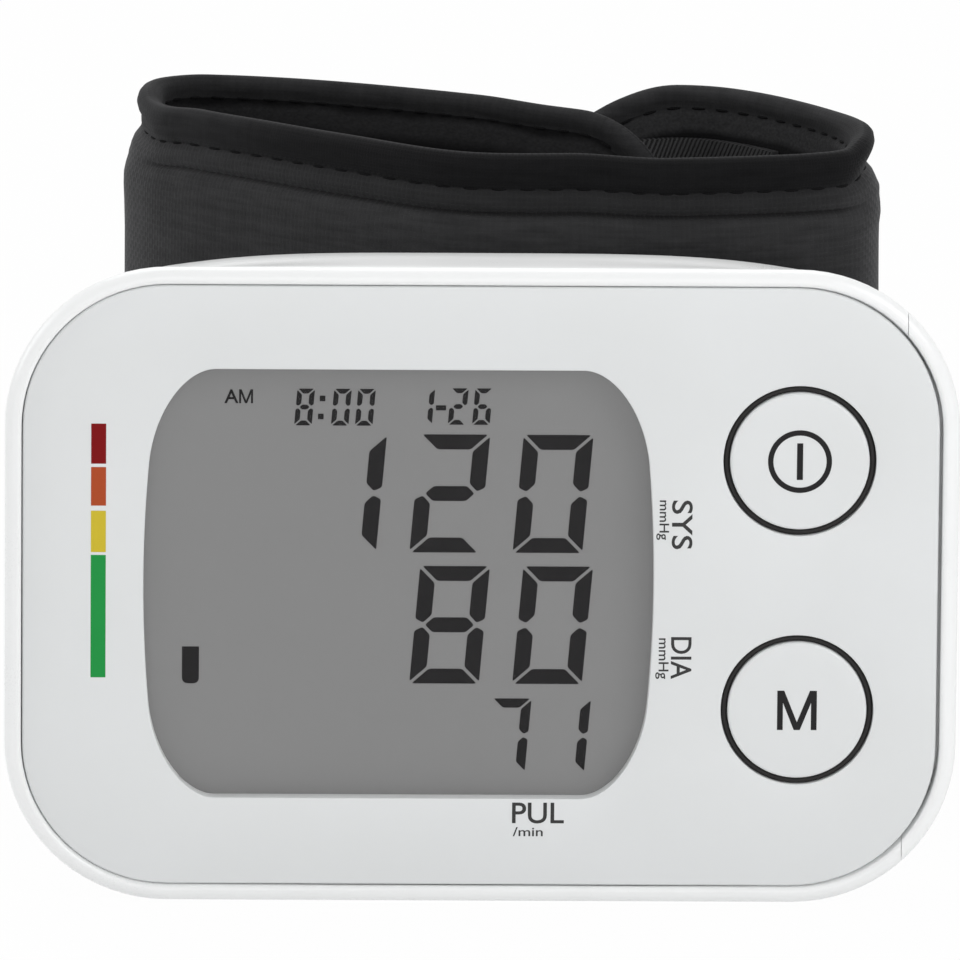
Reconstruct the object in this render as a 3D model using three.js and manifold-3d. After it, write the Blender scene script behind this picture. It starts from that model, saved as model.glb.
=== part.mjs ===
// Wrist blood pressure monitor, standing upright on its lower edge.
// Millimetres, +Z up, the face looks along -Y. The case is drawn from the rim's front plane backwards,
// and the finished group is moved so that its origin lies under the middle of the whole object.

import * as THREE from 'three';
import { mergeVertices } from 'three/addons/utils/BufferGeometryUtils.js';
import Module from 'manifold-3d';

const wasm = await Module();
wasm.setup();

// Clearances
const fit = 0.2; // between pieces that seat on each other
const seamGap = 0.15; // between the two shells
const doorGap = 0.25; // round the battery door
const plateGap = 0.2; // round the face plate

// Batteries (AAA cells) set the height of the case
const batteryLength = 44.5;
const batteryDiameter = 10.5;
const batteryNubRadius = 1.9;
const batteryNubHeight = 0.8;
const batteryEndRoom = 7.65; // from a cell's end to the outside of the case
const batteryPitch = 10.9;
const batteryEdge = 0.5;

// Case
const caseWidth = 88;
const caseHeight = batteryLength + 2 * batteryEndRoom;
const caseCorner = 15;
const caseWall = 1.5;
const rimWidth = 1.55;
const rimRound = 1.1;
const straightDepth = 4; // square-sided part behind the rim
const shoulderDepth = 5; // where the sides start to taper
const taperSlope = 0.22;
const backRound = 5;
const crownDrop = 2.4; // how much the top and bottom fall away at the corners behind the rim
const wristRadius = 120; // hollow in the back that the cuff lies in
const wristRise = 4.4; // how much deeper the case is beside the hollow
const doorReach = 5; // width of the battery door, at the right-hand end of the case
const doorTongueLength = 3;
const doorTongueWidth = 5;
const doorTongueHeight = 2.6;
const doorTongueInset = 13.4; // from the case's top and bottom, clear of its round corners
const ledgeWidth = 2.4;
const ledgeThickness = 1.4;

// Face plate and its openings, placed from the middle of the face
const plateRecess = 0.3;
const plateThickness = 1.6;
const windowLeftMargin = 12.8;
const windowRightMargin = 28.2;
const windowTopMargin = 9.5;
const windowBottomMargin = 9.9;
const windowCorner = 6.7;
const windowSideRadius = 118;
const buttonInset = 14.75; // from the right-hand side of the case
const buttonSpacing = 23.5;
const buttonHoleRadius = 6.97;
const sealThickness = 0.33;
const sealRecess = 0.3;
const sealFlange = 1.2;
const sealFlangeThickness = 0.5;
const buttonClearance = 0.1;
const buttonFlange = 0.9;
const buttonFlangeThickness = 0.7;
const buttonProud = 0.12;
const buttonCrown = 0.25;
const buttonTravel = 0.6;
const stemRadius = 1.6;
const stemLength = 0.4;
const pressGap = 0.1; // left between stem and switch at the end of the travel

// Display stack
const windowFlange = 0.9;
const windowFlangeThickness = 0.8;
const windowRecess = 0.7;
const glassMargin = 0.7;
const glassThickness = 1.8;
const frameWall = 0.8;
const frameLedge = 2.2;
const stripHeight = 1;
const stripWidth = 1.6;

// Board and what stands on it
const boardThickness = 1.2;
const boardLeftInset = 10.6;
const boardRightInset = 7;
const switchSize = 6;
const switchHeight = 1.2;
const switchPlungerRadius = 1.4;
const chipSize = 10;
const chipHeight = 1.4;
const chipGap = 2.5; // between chip and buzzer
const buzzerRadius = 4.5;
const buzzerHeight = 3;
const buzzerGap = 3.5; // between buzzer and battery tray
const chipRowHeight = 17; // above the case's lower edge

// Air system
const pumpInset = 7.4; // from the board's left-hand edge
const pumpBottom = 10;
const motorRadius = 6.2;
const motorLength = 20;
const pumpHeadWidth = 13;
const pumpHeadHeight = 9;
const valveX = -10;
const valveWidth = 9;
const valveHeight = 14;
const sensorX = 3;
const sensorWidth = 7;
const sensorHeight = 6;
const nippleRadius = 1.3;
const nippleLength = 3;
const manifoldSize = 6;
const cuffPortX = 2;
const cuffPortRadius = 1.6;
const connectorFlange = 1.9;
const connectorFlangeThickness = 1;

// Battery tray and contacts
const trayWall = 0.6;
const trayInset = 9.6; // from the right-hand side of the case
const contactThickness = 0.4;
const contactDimple = 0.5;
const contactWidth = 8;

// Screws
const screwShankRadius = 0.9;
const screwHeadRadius = 1.6;
const screwHeadHeight = 1.2;
const screwHeadDepth = 15; // from the rim to the seat of the head
const screwTip = 2.6; // from the rim to the tip
const frontBossRadius = 2.1;
const rearBossRadius = 2.4;
const bossOverlap = 0.7; // how far a boss runs into the plate's ledge
const leftScrewSpacing = 31;
const screwTrayGap = 4; // from the right-hand screws to the battery tray

// Cuff
const cuffHeight = 66;
const cuffMiddle = 2.3; // to the right of the middle of the case
const cuffHalfWidth = 34;
const leftFoldDepth = 28.5; // behind the front wall's middle
const rightFoldDepth = 11;
const wingDepth = 37.6;
const lobeDepth = 33.3;
const hemHalf = 1.25;
const hemHeight = 2.9;
const pinchHalf = 0.85;
const bandHalf = 1.3;
const bandHeight = 5.2;
const seamRise = 2.5; // above the band, where the padding starts to swell
const padRise = 8; // above the band, where it is nearly full
const padHalf = 2.2;
const wingPadHalf = 1.6;
const wingCorner = 13;
const flapCorner = 24;
const foldGap = 0.35;
const fastenerThickness = 0.8;
const fastenerGap = 0.4;
const fastenerHeight = 34;
const pocketHalf = 1.5;
const pocketMargin = 9;
const bladderThickness = 1.4;
const stiffenerThickness = 0.8;
const studRadius = 1.3;
const studMargin = 1; // between a clip and the battery tray
const clipRadius = 3;
const clipThickness = 0.8;

// Derived places, from the middle of the case sideways
const caseRight = caseWidth / 2;
const doorEdge = caseRight - doorReach;
const windowWidth = caseWidth - windowLeftMargin - windowRightMargin;
const windowHeight = caseHeight - windowTopMargin - windowBottomMargin;
const windowX = (windowLeftMargin - windowRightMargin) / 2;
const windowZ = (windowBottomMargin - windowTopMargin) / 2;
const buttonX = caseRight - buttonInset;
const boardLeft = boardLeftInset - caseRight;
const boardRight = caseRight - boardRightInset;
const trayRight = caseRight - trayInset;
const trayLeft = trayRight - (trayWall + 2 * fit + batteryDiameter + batteryPitch);
const rightScrewX = trayLeft - screwTrayGap;
const buzzerX = trayLeft - buzzerGap - buzzerRadius;
const chipX = buzzerX - buzzerRadius - chipGap - chipSize / 2;
const pumpX = boardLeft + pumpInset;

// Derived places, from the rim's front plane backwards
const midZ = caseHeight / 2;
const screwInset = rimWidth + ledgeWidth + frontBossRadius - bossOverlap;
const boardMargin = screwInset + rearBossRadius + fit;
const plateFront = plateRecess;
const plateBack = plateFront + plateThickness;
const ledgeFront = plateBack + fit;
const ledgeBack = ledgeFront + ledgeThickness;
const windowBack = plateBack + fit + windowFlangeThickness;
const glassFront = windowBack + fit;
const glassBack = glassFront + glassThickness;
const boardFront = glassBack + stripHeight + 2 * fit;
const boardBack = boardFront + boardThickness;
const seamDepth = ledgeBack + caseWall;
const trayFront = boardBack + fit;
const trayBack = trayFront + 2 * trayWall + 2 * fit + batteryDiameter;
const batteryDepth = trayFront + trayWall + fit + batteryDiameter / 2;
const motorDepth = boardBack + fit + Math.max(motorRadius, pumpHeadWidth / 2);
const pumpBack = motorDepth + Math.max(motorRadius, pumpHeadWidth / 2);
const waistDepth = Math.max(trayBack - wristSag(trayLeft), pumpBack - wristSag(pumpX)) + fit + caseWall;
const caseDepth = waistDepth + wristRise;
const manifoldDepth = boardBack + fit + Math.min(valveWidth, sensorWidth, pumpHeadWidth) / 2;
const airTop = pumpBottom + motorLength + fit + pumpHeadHeight;
const manifoldBottom = airTop + nippleLength + fit;
const cuffPortZ = manifoldBottom + manifoldSize / 2;
const cuffFront = waistDepth + fit + padHalf;

// How far the hollow back rises, at a distance from the middle
function wristSag(x) {
  return wristRadius - Math.sqrt(wristRadius ** 2 - x ** 2);
}

// Finishes
const whitePlastic = { color: 0xf2f2f0, roughness: 0.4, metalness: 0 };
const silverPlate = { color: 0xdfe1e1, roughness: 0.5, metalness: 0 };
const clearLens = { color: 0xc8cccc, roughness: 0.1, metalness: 0 };
const displayGrey = { color: 0x848484, roughness: 0.3, metalness: 0 };
const darkRubber = { color: 0x262626, roughness: 0.8, metalness: 0 };
const boardGreen = { color: 0x1f5a34, roughness: 0.6, metalness: 0 };
const blackPlastic = { color: 0x1b1b1c, roughness: 0.6, metalness: 0 };
const greyPlastic = { color: 0x9a9c9c, roughness: 0.6, metalness: 0 };
const brightMetal = { color: 0xc4c6c8, roughness: 0.3, metalness: 1 };
const softRubber = { color: 0xd8d4c8, roughness: 0.7, metalness: 0 };
const cellWrap = { color: 0x3a4a5a, roughness: 0.45, metalness: 0.2 };
const blackFabric = { color: 0x2c2c2d, roughness: 0.95, metalness: 0 };
const hookTape = { color: 0x202021, roughness: 0.9, metalness: 0 };

const device = new THREE.Group();

function place(name, shape, finish) {
  const geometry = shape.isBufferGeometry ? shape : geometryOf(shape);
  const mesh = new THREE.Mesh(geometry, new THREE.MeshStandardMaterial(finish));
  mesh.name = name;
  device.add(mesh);
}

// A closed geometry as a solid that can be joined and cut
function solid(geometry) {
  const bare = new THREE.BufferGeometry();
  bare.setAttribute('position', geometry.getAttribute('position'));
  bare.setIndex(geometry.getIndex());
  const merged = mergeVertices(bare);
  return new wasm.Manifold(new wasm.Mesh({
    numProp: 3,
    vertProperties: Float32Array.from(merged.getAttribute('position').array),
    triVerts: Uint32Array.from(merged.getIndex().array),
  }));
}

function geometryOf(manifold) {
  const mesh = manifold.getMesh();
  const geometry = new THREE.BufferGeometry();
  geometry.setAttribute('position', new THREE.BufferAttribute(mesh.vertProperties, 3));
  geometry.setIndex(new THREE.BufferAttribute(mesh.triVerts, 1));
  geometry.computeVertexNormals();
  return geometry;
}

function box(x0, x1, y0, y1, z0, z1) {
  const geometry = new THREE.BoxGeometry(x1 - x0, y1 - y0, z1 - z0);
  return geometry.translate((x0 + x1) / 2, (y0 + y1) / 2, (z0 + z1) / 2);
}

// Rod along Y
function rod(radius, x, z, y0, y1, sides = 14) {
  return new THREE.CylinderGeometry(radius, radius, y1 - y0, sides).translate(x, (y0 + y1) / 2, z);
}

// Post along Z
function post(radius, x, y, z0, z1, sides = 24) {
  const geometry = new THREE.CylinderGeometry(radius, radius, z1 - z0, sides);
  return geometry.rotateX(Math.PI / 2).translate(x, y, (z0 + z1) / 2);
}

// Turned piece about a line along Y
function turned(profile, x, z, sides = 32) {
  const points = profile.map(([radius, y]) => new THREE.Vector2(radius, y));
  return new THREE.LatheGeometry(points, sides).translate(x, 0, z);
}

// Flat outline in the face's plane, given thickness along Y
function slab(shape, y0, y1, curveSegments = 5) {
  const settings = { depth: y1 - y0, bevelEnabled: false, curveSegments };
  const geometry = new THREE.ExtrudeGeometry(shape, settings);
  return geometry.rotateX(Math.PI / 2).translate(0, y1, 0);
}

function circleHole(shape, radius, x, z) {
  shape.holes.push(new THREE.Path().absarc(x, z, radius, 0, 2 * Math.PI, true));
}

// Barrel-sided window outline, larger than the opening by grow
function windowOutline(target, grow) {
  const halfWidth = windowWidth / 2 + grow;
  const halfHeight = windowHeight / 2 + grow;
  const corner = windowCorner + grow;
  const side = windowSideRadius + grow;
  const cornerZ = halfHeight - corner;
  const swing = Math.asin(cornerZ / (side - corner));
  const cornerX = halfWidth - side + (side - corner) * Math.cos(swing);
  const x = windowX;
  const z = midZ + windowZ;
  target.absarc(x + halfWidth - side, z, side, -swing, swing);
  target.absarc(x + cornerX, z + cornerZ, corner, swing, Math.PI / 2);
  target.absarc(x - cornerX, z + cornerZ, corner, Math.PI / 2, Math.PI - swing);
  target.absarc(x - halfWidth + side, z, side, Math.PI - swing, Math.PI + swing);
  target.absarc(x - cornerX, z - cornerZ, corner, Math.PI + swing, 1.5 * Math.PI);
  target.absarc(x + cornerX, z - cornerZ, corner, 1.5 * Math.PI, 2 * Math.PI - swing);
  return target;
}

function rectangle(x0, x1, z0, z1) {
  return new THREE.Shape([
    new THREE.Vector2(x0, z0),
    new THREE.Vector2(x1, z0),
    new THREE.Vector2(x1, z1),
    new THREE.Vector2(x0, z1),
  ]);
}

// Closed rounded-rectangle loop in the face's plane, as [x, z] pairs, drawn in by inset
function caseLoop(inset) {
  const halfWidth = caseWidth / 2 - inset;
  const halfHeight = caseHeight / 2 - inset;
  const corner = Math.max(caseCorner - inset, caseWall);
  const cornerSteps = 6;
  const edgeSteps = 4;
  const loop = [];
  for (let quarter = 0; quarter < 4; quarter += 1) {
    const signX = quarter === 0 || quarter === 3 ? 1 : -1;
    const signZ = quarter < 2 ? 1 : -1;
    for (let step = 0; step <= cornerSteps; step += 1) {
      const angle = (quarter + step / cornerSteps) * Math.PI / 2;
      loop.push([
        signX * (halfWidth - corner) + corner * Math.cos(angle),
        midZ + signZ * (halfHeight - corner) + corner * Math.sin(angle),
      ]);
    }
    if (quarter % 2 === 0) {
      for (let step = 1; step < edgeSteps; step += 1) {
        const along = 1 - 2 * step / edgeSteps;
        loop.push([signX * along * (halfWidth - corner), midZ + signZ * halfHeight]);
      }
    }
  }
  return loop;
}

// How far the case is drawn in at a depth behind the rim's front plane
function caseInset(depth) {
  let inset = 0;
  if (depth < rimRound) {
    inset += rimRound - Math.sqrt(rimRound ** 2 - (rimRound - depth) ** 2);
  }
  const past = depth - straightDepth;
  if (past > shoulderDepth) {
    inset += taperSlope * (past - shoulderDepth / 2);
  } else if (past > 0) {
    inset += taperSlope * past ** 2 / (2 * shoulderDepth);
  }
  const round = depth - (caseDepth - backRound);
  if (round > 0) {
    inset += backRound - Math.sqrt(Math.max(backRound ** 2 - round ** 2, 0));
  }
  return inset;
}

function caseRing(depth, offset) {
  const crown = crownDrop * THREE.MathUtils.smoothstep(depth, straightDepth, straightDepth + shoulderDepth);
  return caseLoop(caseInset(depth) + offset).map(([x, z]) => {
    const fall = crown * (2 * x / caseWidth) ** 2;
    return new THREE.Vector3(x, depth, z - Math.sign(z - midZ) * fall);
  });
}

// Closed skin over a row of matching rings, with flat ends
function loft(rings) {
  const count = rings[0].length;
  const index = [];
  for (let row = 0; row + 1 < rings.length; row += 1) {
    for (let column = 0; column < count; column += 1) {
      const next = (column + 1) % count;
      const a = row * count + column;
      const b = row * count + next;
      index.push(a, a + count, b, b, a + count, b + count);
    }
  }
  const last = (rings.length - 1) * count;
  for (let column = 1; column + 1 < count; column += 1) {
    index.push(0, column, column + 1);
    index.push(last, last + column + 1, last + column);
  }
  return facingOut(rings.flat(), index);
}

// Indexed geometry turned so that its faces look outwards
function facingOut(points, index) {
  let volume = 0;
  for (let corner = 0; corner < index.length; corner += 3) {
    const [a, b, c] = [0, 1, 2].map((step) => points[index[corner + step]]);
    volume += a.dot(new THREE.Vector3().crossVectors(b, c));
  }
  const order = volume < 0 ? index.slice().reverse() : index;
  const geometry = new THREE.BufferGeometry().setFromPoints(points);
  geometry.setIndex(order);
  return geometry;
}

function caseSkin(offset, front, back) {
  const roundSteps = [0, 0.15, 0.5, 1].map((share) => share * rimRound);
  const tail = caseDepth - backRound;
  const backSteps = [0.5, 0.85, 1].map((share) => tail + share * backRound);
  const shoulder = [0.5, 1].map((share) => straightDepth + share * shoulderDepth);
  const stops = [...roundSteps, straightDepth, ...shoulder, tail, ...backSteps];
  const depths = [front, ...stops.filter((depth) => depth > front && depth < back), back];
  return loft(depths.map((depth) => caseRing(depth, offset)));
}

// Hollow back as a solid post that cuts the case
function wristPost(radius) {
  const reach = 2 * caseHeight;
  return solid(post(radius, 0, waistDepth + wristRadius, midZ - reach, midZ + reach, 72));
}

// Straight-sided cut through the case along Y, drawn in by inset
function caseCut(inset, y0, y1) {
  const rings = [y0, y1].map((depth) => caseLoop(inset).map(([x, z]) => new THREE.Vector3(x, depth, z)));
  return solid(loft(rings));
}

const farAway = 4 * caseWidth;

function between(x0, x1, y0, y1) {
  return solid(box(x0, x1, y0, y1, -farAway, farAway));
}

function screwPlaces() {
  const places = [];
  for (const side of [-1, 1]) {
    places.push([screwInset - caseWidth / 2, midZ + side * leftScrewSpacing / 2]);
    places.push([rightScrewX, midZ + side * (caseHeight / 2 - screwInset)]);
  }
  return places;
}

// Notches that keep a piece inside the case clear of the screw bosses
function clearOfBosses(piece) {
  const radius = Math.max(frontBossRadius, rearBossRadius) + fit;
  const bosses = screwPlaces().map(([x, z]) => solid(rod(radius, x, z, 0, caseDepth)));
  return bosses.reduce((rest, boss) => rest.subtract(boss), piece);
}

// The whole case wall, before it is parted into shells and door
function caseWalls() {
  const skin = solid(caseSkin(0, 0, caseDepth)).subtract(wristPost(wristRadius));
  const cavity = solid(caseSkin(caseWall, ledgeBack, caseDepth - caseWall));
  const hollow = cavity.subtract(wristPost(wristRadius + caseWall))
    .add(caseCut(rimWidth, -rimRound, ledgeFront))
    .add(caseCut(rimWidth + ledgeWidth, plateBack, ledgeBack + fit));
  return skin.subtract(hollow);
}

function frontShell(walls) {
  let shell = walls.intersect(between(-farAway, doorEdge, -farAway, seamDepth - seamGap / 2));
  for (const [x, z] of screwPlaces()) {
    shell = shell.add(solid(rod(frontBossRadius, x, z, ledgeFront, seamDepth - seamGap / 2)));
    shell = shell.subtract(solid(rod(screwShankRadius + fit, x, z, screwTip - fit, seamDepth)));
  }
  return shell;
}

function rearShell(walls) {
  const inside = solid(caseSkin(caseWall / 2, seamDepth + seamGap / 2, caseDepth - caseWall))
    .subtract(wristPost(wristRadius + caseWall / 2));
  let shell = walls.intersect(between(-farAway, doorEdge, seamDepth + seamGap / 2, farAway));
  for (const [x, z] of screwPlaces()) {
    shell = shell.add(solid(rod(rearBossRadius, x, z, seamDepth, caseDepth)).intersect(inside));
    shell = shell.subtract(solid(rod(screwShankRadius + fit, x, z, 0, caseDepth)));
    shell = shell.subtract(solid(rod(screwHeadRadius + fit, x, z, screwHeadDepth, caseDepth + fit)));
  }
  const cuffReach = caseDepth + fit;
  shell = shell.subtract(solid(rod(cuffPortRadius + fit, cuffPortX, cuffPortZ, trayFront, cuffReach)));
  for (const x of studPlaces()) {
    shell = shell.subtract(solid(rod(studRadius + fit, x, midZ, trayFront, cuffReach)));
  }
  return shell;
}

// End cap with two tongues that reach in under the shell
function batteryDoor(walls) {
  const side = between(doorEdge + doorGap, farAway, -farAway, farAway);
  const room = solid(caseSkin(caseWall + 2 * fit, seamDepth, caseDepth - caseWall));
  const root = solid(caseSkin(caseWall / 2, seamDepth, caseDepth - caseWall)).intersect(side);
  const y0 = batteryDepth - doorTongueWidth / 2;
  const y1 = batteryDepth + doorTongueWidth / 2;
  const edge = caseHeight / 2 - doorTongueInset;
  let door = walls.intersect(side);
  for (const low of [midZ + edge - doorTongueHeight, midZ - edge]) {
    const high = low + doorTongueHeight;
    const tongue = solid(box(doorEdge - doorTongueLength, caseRight, y0, y1, low, high));
    door = door.add(tongue.intersect(room.add(root)));
  }
  return door;
}

function buttonPlaces() {
  return [
    ['power', midZ + buttonSpacing / 2],
    ['memory', midZ - buttonSpacing / 2],
  ];
}

function facePlate() {
  const inset = rimWidth + plateGap;
  const outline = new THREE.Shape(caseLoop(inset).map(([x, z]) => new THREE.Vector2(x, z)));
  outline.holes.push(windowOutline(new THREE.Path(), 0));
  for (const [, z] of buttonPlaces()) {
    circleHole(outline, buttonHoleRadius, buttonX, z);
  }
  return slab(outline, plateFront, plateBack, 9);
}

function displayWindow() {
  const flange = solid(slab(windowOutline(new THREE.Shape(), windowFlange), plateBack + fit, windowBack));
  const pane = solid(slab(windowOutline(new THREE.Shape(), -fit), plateFront + windowRecess, windowBack));
  return flange.add(pane);
}

// Corners of the display glass
function glassEdges() {
  const halfWidth = windowWidth / 2 + glassMargin;
  const halfHeight = windowHeight / 2 + glassMargin;
  const z = midZ + windowZ;
  return { x0: windowX - halfWidth, x1: windowX + halfWidth, z0: z - halfHeight, z1: z + halfHeight };
}

function displayGlass() {
  const { x0, x1, z0, z1 } = glassEdges();
  return box(x0, x1, glassFront, glassBack, z0, z1);
}

function displayFrame() {
  const { x0, x1, z0, z1 } = glassEdges();
  const out = fit + frameWall;
  const body = solid(box(x0 - out, x1 + out, glassFront, boardFront - fit, z0 - out, z1 + out));
  const seat = solid(box(x0 - fit, x1 + fit, 0, glassBack + fit, z0 - fit, z1 + fit));
  const back = frameLedge + stripWidth;
  const opening = solid(box(x0 + frameLedge, x1 - frameLedge, 0, boardFront, z0 + back, z1 - back));
  const slots = stripRows().map(([low, high]) => solid(box(x0, x1, 0, boardFront, low - fit, high + fit)));
  const frame = slots.reduce((rest, slot) => rest.subtract(slot), body.subtract(seat).subtract(opening));
  return clearOfBosses(frame);
}

// Rows of the two contact strips, lower and upper
function stripRows() {
  const { z0, z1 } = glassEdges();
  const margin = 2 * fit;
  return [[z0 + margin, z0 + margin + stripWidth], [z1 - margin - stripWidth, z1 - margin]];
}

function contactStrip([low, high]) {
  const { x0, x1 } = glassEdges();
  return box(x0 + frameLedge, x1 - frameLedge, glassBack + fit, boardFront - fit, low, high);
}

function mainBoard() {
  const outline = rectangle(boardLeft, boardRight, boardMargin, caseHeight - boardMargin);
  return clearOfBosses(solid(slab(outline, boardFront, boardBack)));
}

// Depths of a button's flange and stem
const buttonFlangeFront = plateBack + fit + sealFlangeThickness + fit;
const buttonFlangeBack = buttonFlangeFront + buttonFlangeThickness;
const stemEnd = buttonFlangeBack + stemLength;

function buttonCap(z) {
  const radius = buttonHoleRadius - sealThickness - 2 * buttonClearance;
  const front = plateFront - buttonProud;
  return turned([
    [0, front],
    [radius - 2 * buttonCrown, front],
    [radius, front + buttonCrown],
    [radius, buttonFlangeFront],
    [radius + buttonFlange, buttonFlangeFront],
    [radius + buttonFlange, buttonFlangeBack],
    [stemRadius, buttonFlangeBack],
    [stemRadius, stemEnd],
    [0, stemEnd],
  ], buttonX, z, 32);
}

function buttonSeal(z) {
  const outer = buttonHoleRadius - buttonClearance;
  const inner = outer - sealThickness;
  const front = plateFront + sealRecess;
  const flangeFront = plateBack + fit;
  const flangeBack = flangeFront + sealFlangeThickness;
  return turned([
    [inner, flangeBack],
    [inner, front],
    [outer, front],
    [outer, flangeFront],
    [outer + sealFlange, flangeFront],
    [outer + sealFlange, flangeBack],
    [inner, flangeBack],
  ], buttonX, z, 32);
}

// Switch on the board, whose plunger the stem reaches at the end of its travel
function tactSwitch(z) {
  const half = switchSize / 2;
  const back = boardFront - fit;
  const plungerFront = stemEnd + buttonTravel + pressGap;
  const body = solid(box(buttonX - half, buttonX + half, back - switchHeight, back, z - half, z + half));
  return body.add(solid(rod(switchPlungerRadius, buttonX, z, plungerFront, back)));
}

// Boxed component standing on the back of the board, with an air nipple on top if asked
function boardBlock(x, width, depth, z0, z1, nipple) {
  const y0 = boardBack + fit;
  const block = solid(box(x - width / 2, x + width / 2, y0, y0 + depth, z0, z1));
  if (!nipple) {
    return block;
  }
  return block.add(solid(post(nippleRadius, x, manifoldDepth, z1 - fit, z1 + nippleLength, 16)));
}

function airManifold() {
  const half = manifoldSize / 2;
  const x0 = pumpX - half;
  const x1 = sensorX + half;
  const top = manifoldBottom + manifoldSize;
  return box(x0, x1, manifoldDepth - half + fit, manifoldDepth + half, manifoldBottom, top);
}

// Depth of the inside of the back wall at a distance from the middle
function backWallInside(x) {
  const radius = wristRadius + caseWall;
  return waistDepth + wristRadius - Math.sqrt(radius ** 2 - x ** 2);
}

function cuffConnector() {
  const reach = Math.abs(cuffPortX) + cuffPortRadius + connectorFlange;
  const flangeBack = backWallInside(Math.max(reach - 2 * (cuffPortRadius + connectorFlange), 0)) - fit;
  const bladderFace = frontWallAt(cuffPortX) - bladderFront() - 2 * fit;
  const flangeRadius = cuffPortRadius + connectorFlange;
  return turned([
    [0, flangeBack - connectorFlangeThickness],
    [flangeRadius, flangeBack - connectorFlangeThickness],
    [flangeRadius, flangeBack],
    [cuffPortRadius, flangeBack],
    [cuffPortRadius, bladderFace],
    [0, bladderFace],
  ], cuffPortX, cuffPortZ, 20);
}

function cuffTube() {
  const reach = Math.abs(cuffPortX) - cuffPortRadius - connectorFlange;
  const end = backWallInside(Math.max(reach, 0)) - fit - connectorFlangeThickness - fit;
  return rod(cuffPortRadius + fit, cuffPortX, cuffPortZ, manifoldDepth + manifoldSize / 2 + fit, end, 16);
}

function batteryPlaces() {
  const first = trayLeft + trayWall + fit + batteryDiameter / 2;
  return [first, first + batteryPitch];
}

function batteryTray() {
  const half = batteryLength / 2 + contactThickness + contactDimple + 3 * fit;
  const low = midZ - half;
  const high = midZ + half;
  const body = solid(box(trayLeft, trayRight, trayFront, trayBack, low - trayWall, high + trayWall));
  const inside = box(trayLeft + trayWall, farAway, trayFront + trayWall, trayBack - trayWall, low, high);
  const room = solid(caseSkin(caseWall + fit, seamDepth, caseDepth - caseWall));
  return body.subtract(solid(inside)).intersect(room);
}

function battery(x, nubUp) {
  const radius = batteryDiameter / 2;
  const half = batteryLength / 2;
  const shoulder = half - batteryNubHeight;
  const geometry = turned([
    [0, -half],
    [radius - batteryEdge, -half],
    [radius, batteryEdge - half],
    [radius, shoulder - batteryEdge],
    [radius - batteryEdge, shoulder],
    [batteryNubRadius, shoulder],
    [batteryNubRadius, half],
    [0, half],
  ], 0, 0, 28);
  geometry.rotateX(nubUp ? Math.PI / 2 : -Math.PI / 2);
  return geometry.translate(x, batteryDepth, midZ);
}

// Sprung contact plate over the ends of the cells from one to another, dimpled towards them
function batteryContact(firstCell, lastCell, upper) {
  const x0 = firstCell - contactWidth / 2;
  const x1 = lastCell + contactWidth / 2;
  const side = upper ? 1 : -1;
  const end = batteryLength / 2 + fit;
  const y0 = batteryDepth - contactWidth / 2;
  const y1 = batteryDepth + contactWidth / 2;
  const near = midZ + side * (end + contactDimple);
  const far = near + side * contactThickness;
  let plate = solid(box(x0, x1, y0, y1, Math.min(near, far), Math.max(near, far)));
  for (const x of batteryPlaces()) {
    if (x > x0 && x < x1) {
      const tip = midZ + side * end;
      const dimple = post(batteryNubRadius, x, batteryDepth, Math.min(tip, far), Math.max(tip, far), 16);
      plate = plate.add(solid(dimple));
    }
  }
  return plate;
}

function screw(x, z) {
  const seat = screwHeadDepth + fit;
  return turned([
    [0, screwTip],
    [screwShankRadius, screwTip + screwShankRadius],
    [screwShankRadius, seat],
    [screwHeadRadius, seat],
    [screwHeadRadius, seat + screwHeadHeight],
    [0, seat + screwHeadHeight],
  ], x, z, 16);
}

// Plan curves of the cuff, seen from above; y is measured from the rim's front plane
function planCurve(points) {
  const places = points.map(([x, y]) => new THREE.Vector3(x, cuffFront + y, 0));
  return new THREE.CatmullRomCurve3(places, false, 'centripetal');
}

// Point of a cuff plan curve, at a share of the half width from the cuff's middle
function cuffPoint(share, depth) {
  return [cuffMiddle + share * cuffHalfWidth, depth];
}

// The front wall follows the hollow in the case and leaves it towards the folds
function frontCurve() {
  const wall = (share, away) => cuffPoint(share, wristSag(cuffPoint(share, 0)[0]) + away);
  return planCurve([
    cuffPoint(-1, leftFoldDepth),
    cuffPoint(-0.96, 0.83 * leftFoldDepth),
    cuffPoint(-0.855, 0.64 * leftFoldDepth),
    wall(-0.655, 0.36 * leftFoldDepth),
    wall(-0.42, 0.16 * leftFoldDepth),
    wall(-0.2, 0.04 * leftFoldDepth),
    wall(0, 0),
    wall(0.25, 0),
    wall(0.55, 0.035 * rightFoldDepth),
    wall(0.82, 0.12 * rightFoldDepth),
    wall(0.96, 0.33 * rightFoldDepth),
    cuffPoint(1, rightFoldDepth),
  ]);
}

function wingCurve() {
  const climb = wingDepth - leftFoldDepth;
  return planCurve([
    cuffPoint(-1, leftFoldDepth),
    cuffPoint(-0.956, leftFoldDepth + 0.72 * climb),
    cuffPoint(-0.86, wingDepth),
    cuffPoint(-0.77, wingDepth),
    cuffPoint(-0.565, wingDepth - 0.045 * wingDepth),
    cuffPoint(-0.29, wingDepth - 0.145 * wingDepth),
    cuffPoint(-0.02, wingDepth - 0.275 * wingDepth),
    cuffPoint(0.27, wingDepth - 0.45 * wingDepth),
    cuffPoint(0.465, wingDepth - 0.6 * wingDepth),
  ]);
}

// Distance between the middles of the wing and the flap where they are fastened together
const layerStep = 2 * wingPadHalf + 2 * fastenerThickness + fastenerGap + 2 * fit;

// Point beside a plan curve, out of the loop
function beside(curve, share, distance) {
  const point = curve.getPointAt(share);
  const tangent = curve.getTangentAt(share);
  return [point.x - tangent.y * distance, point.y + tangent.x * distance - cuffFront];
}

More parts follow.
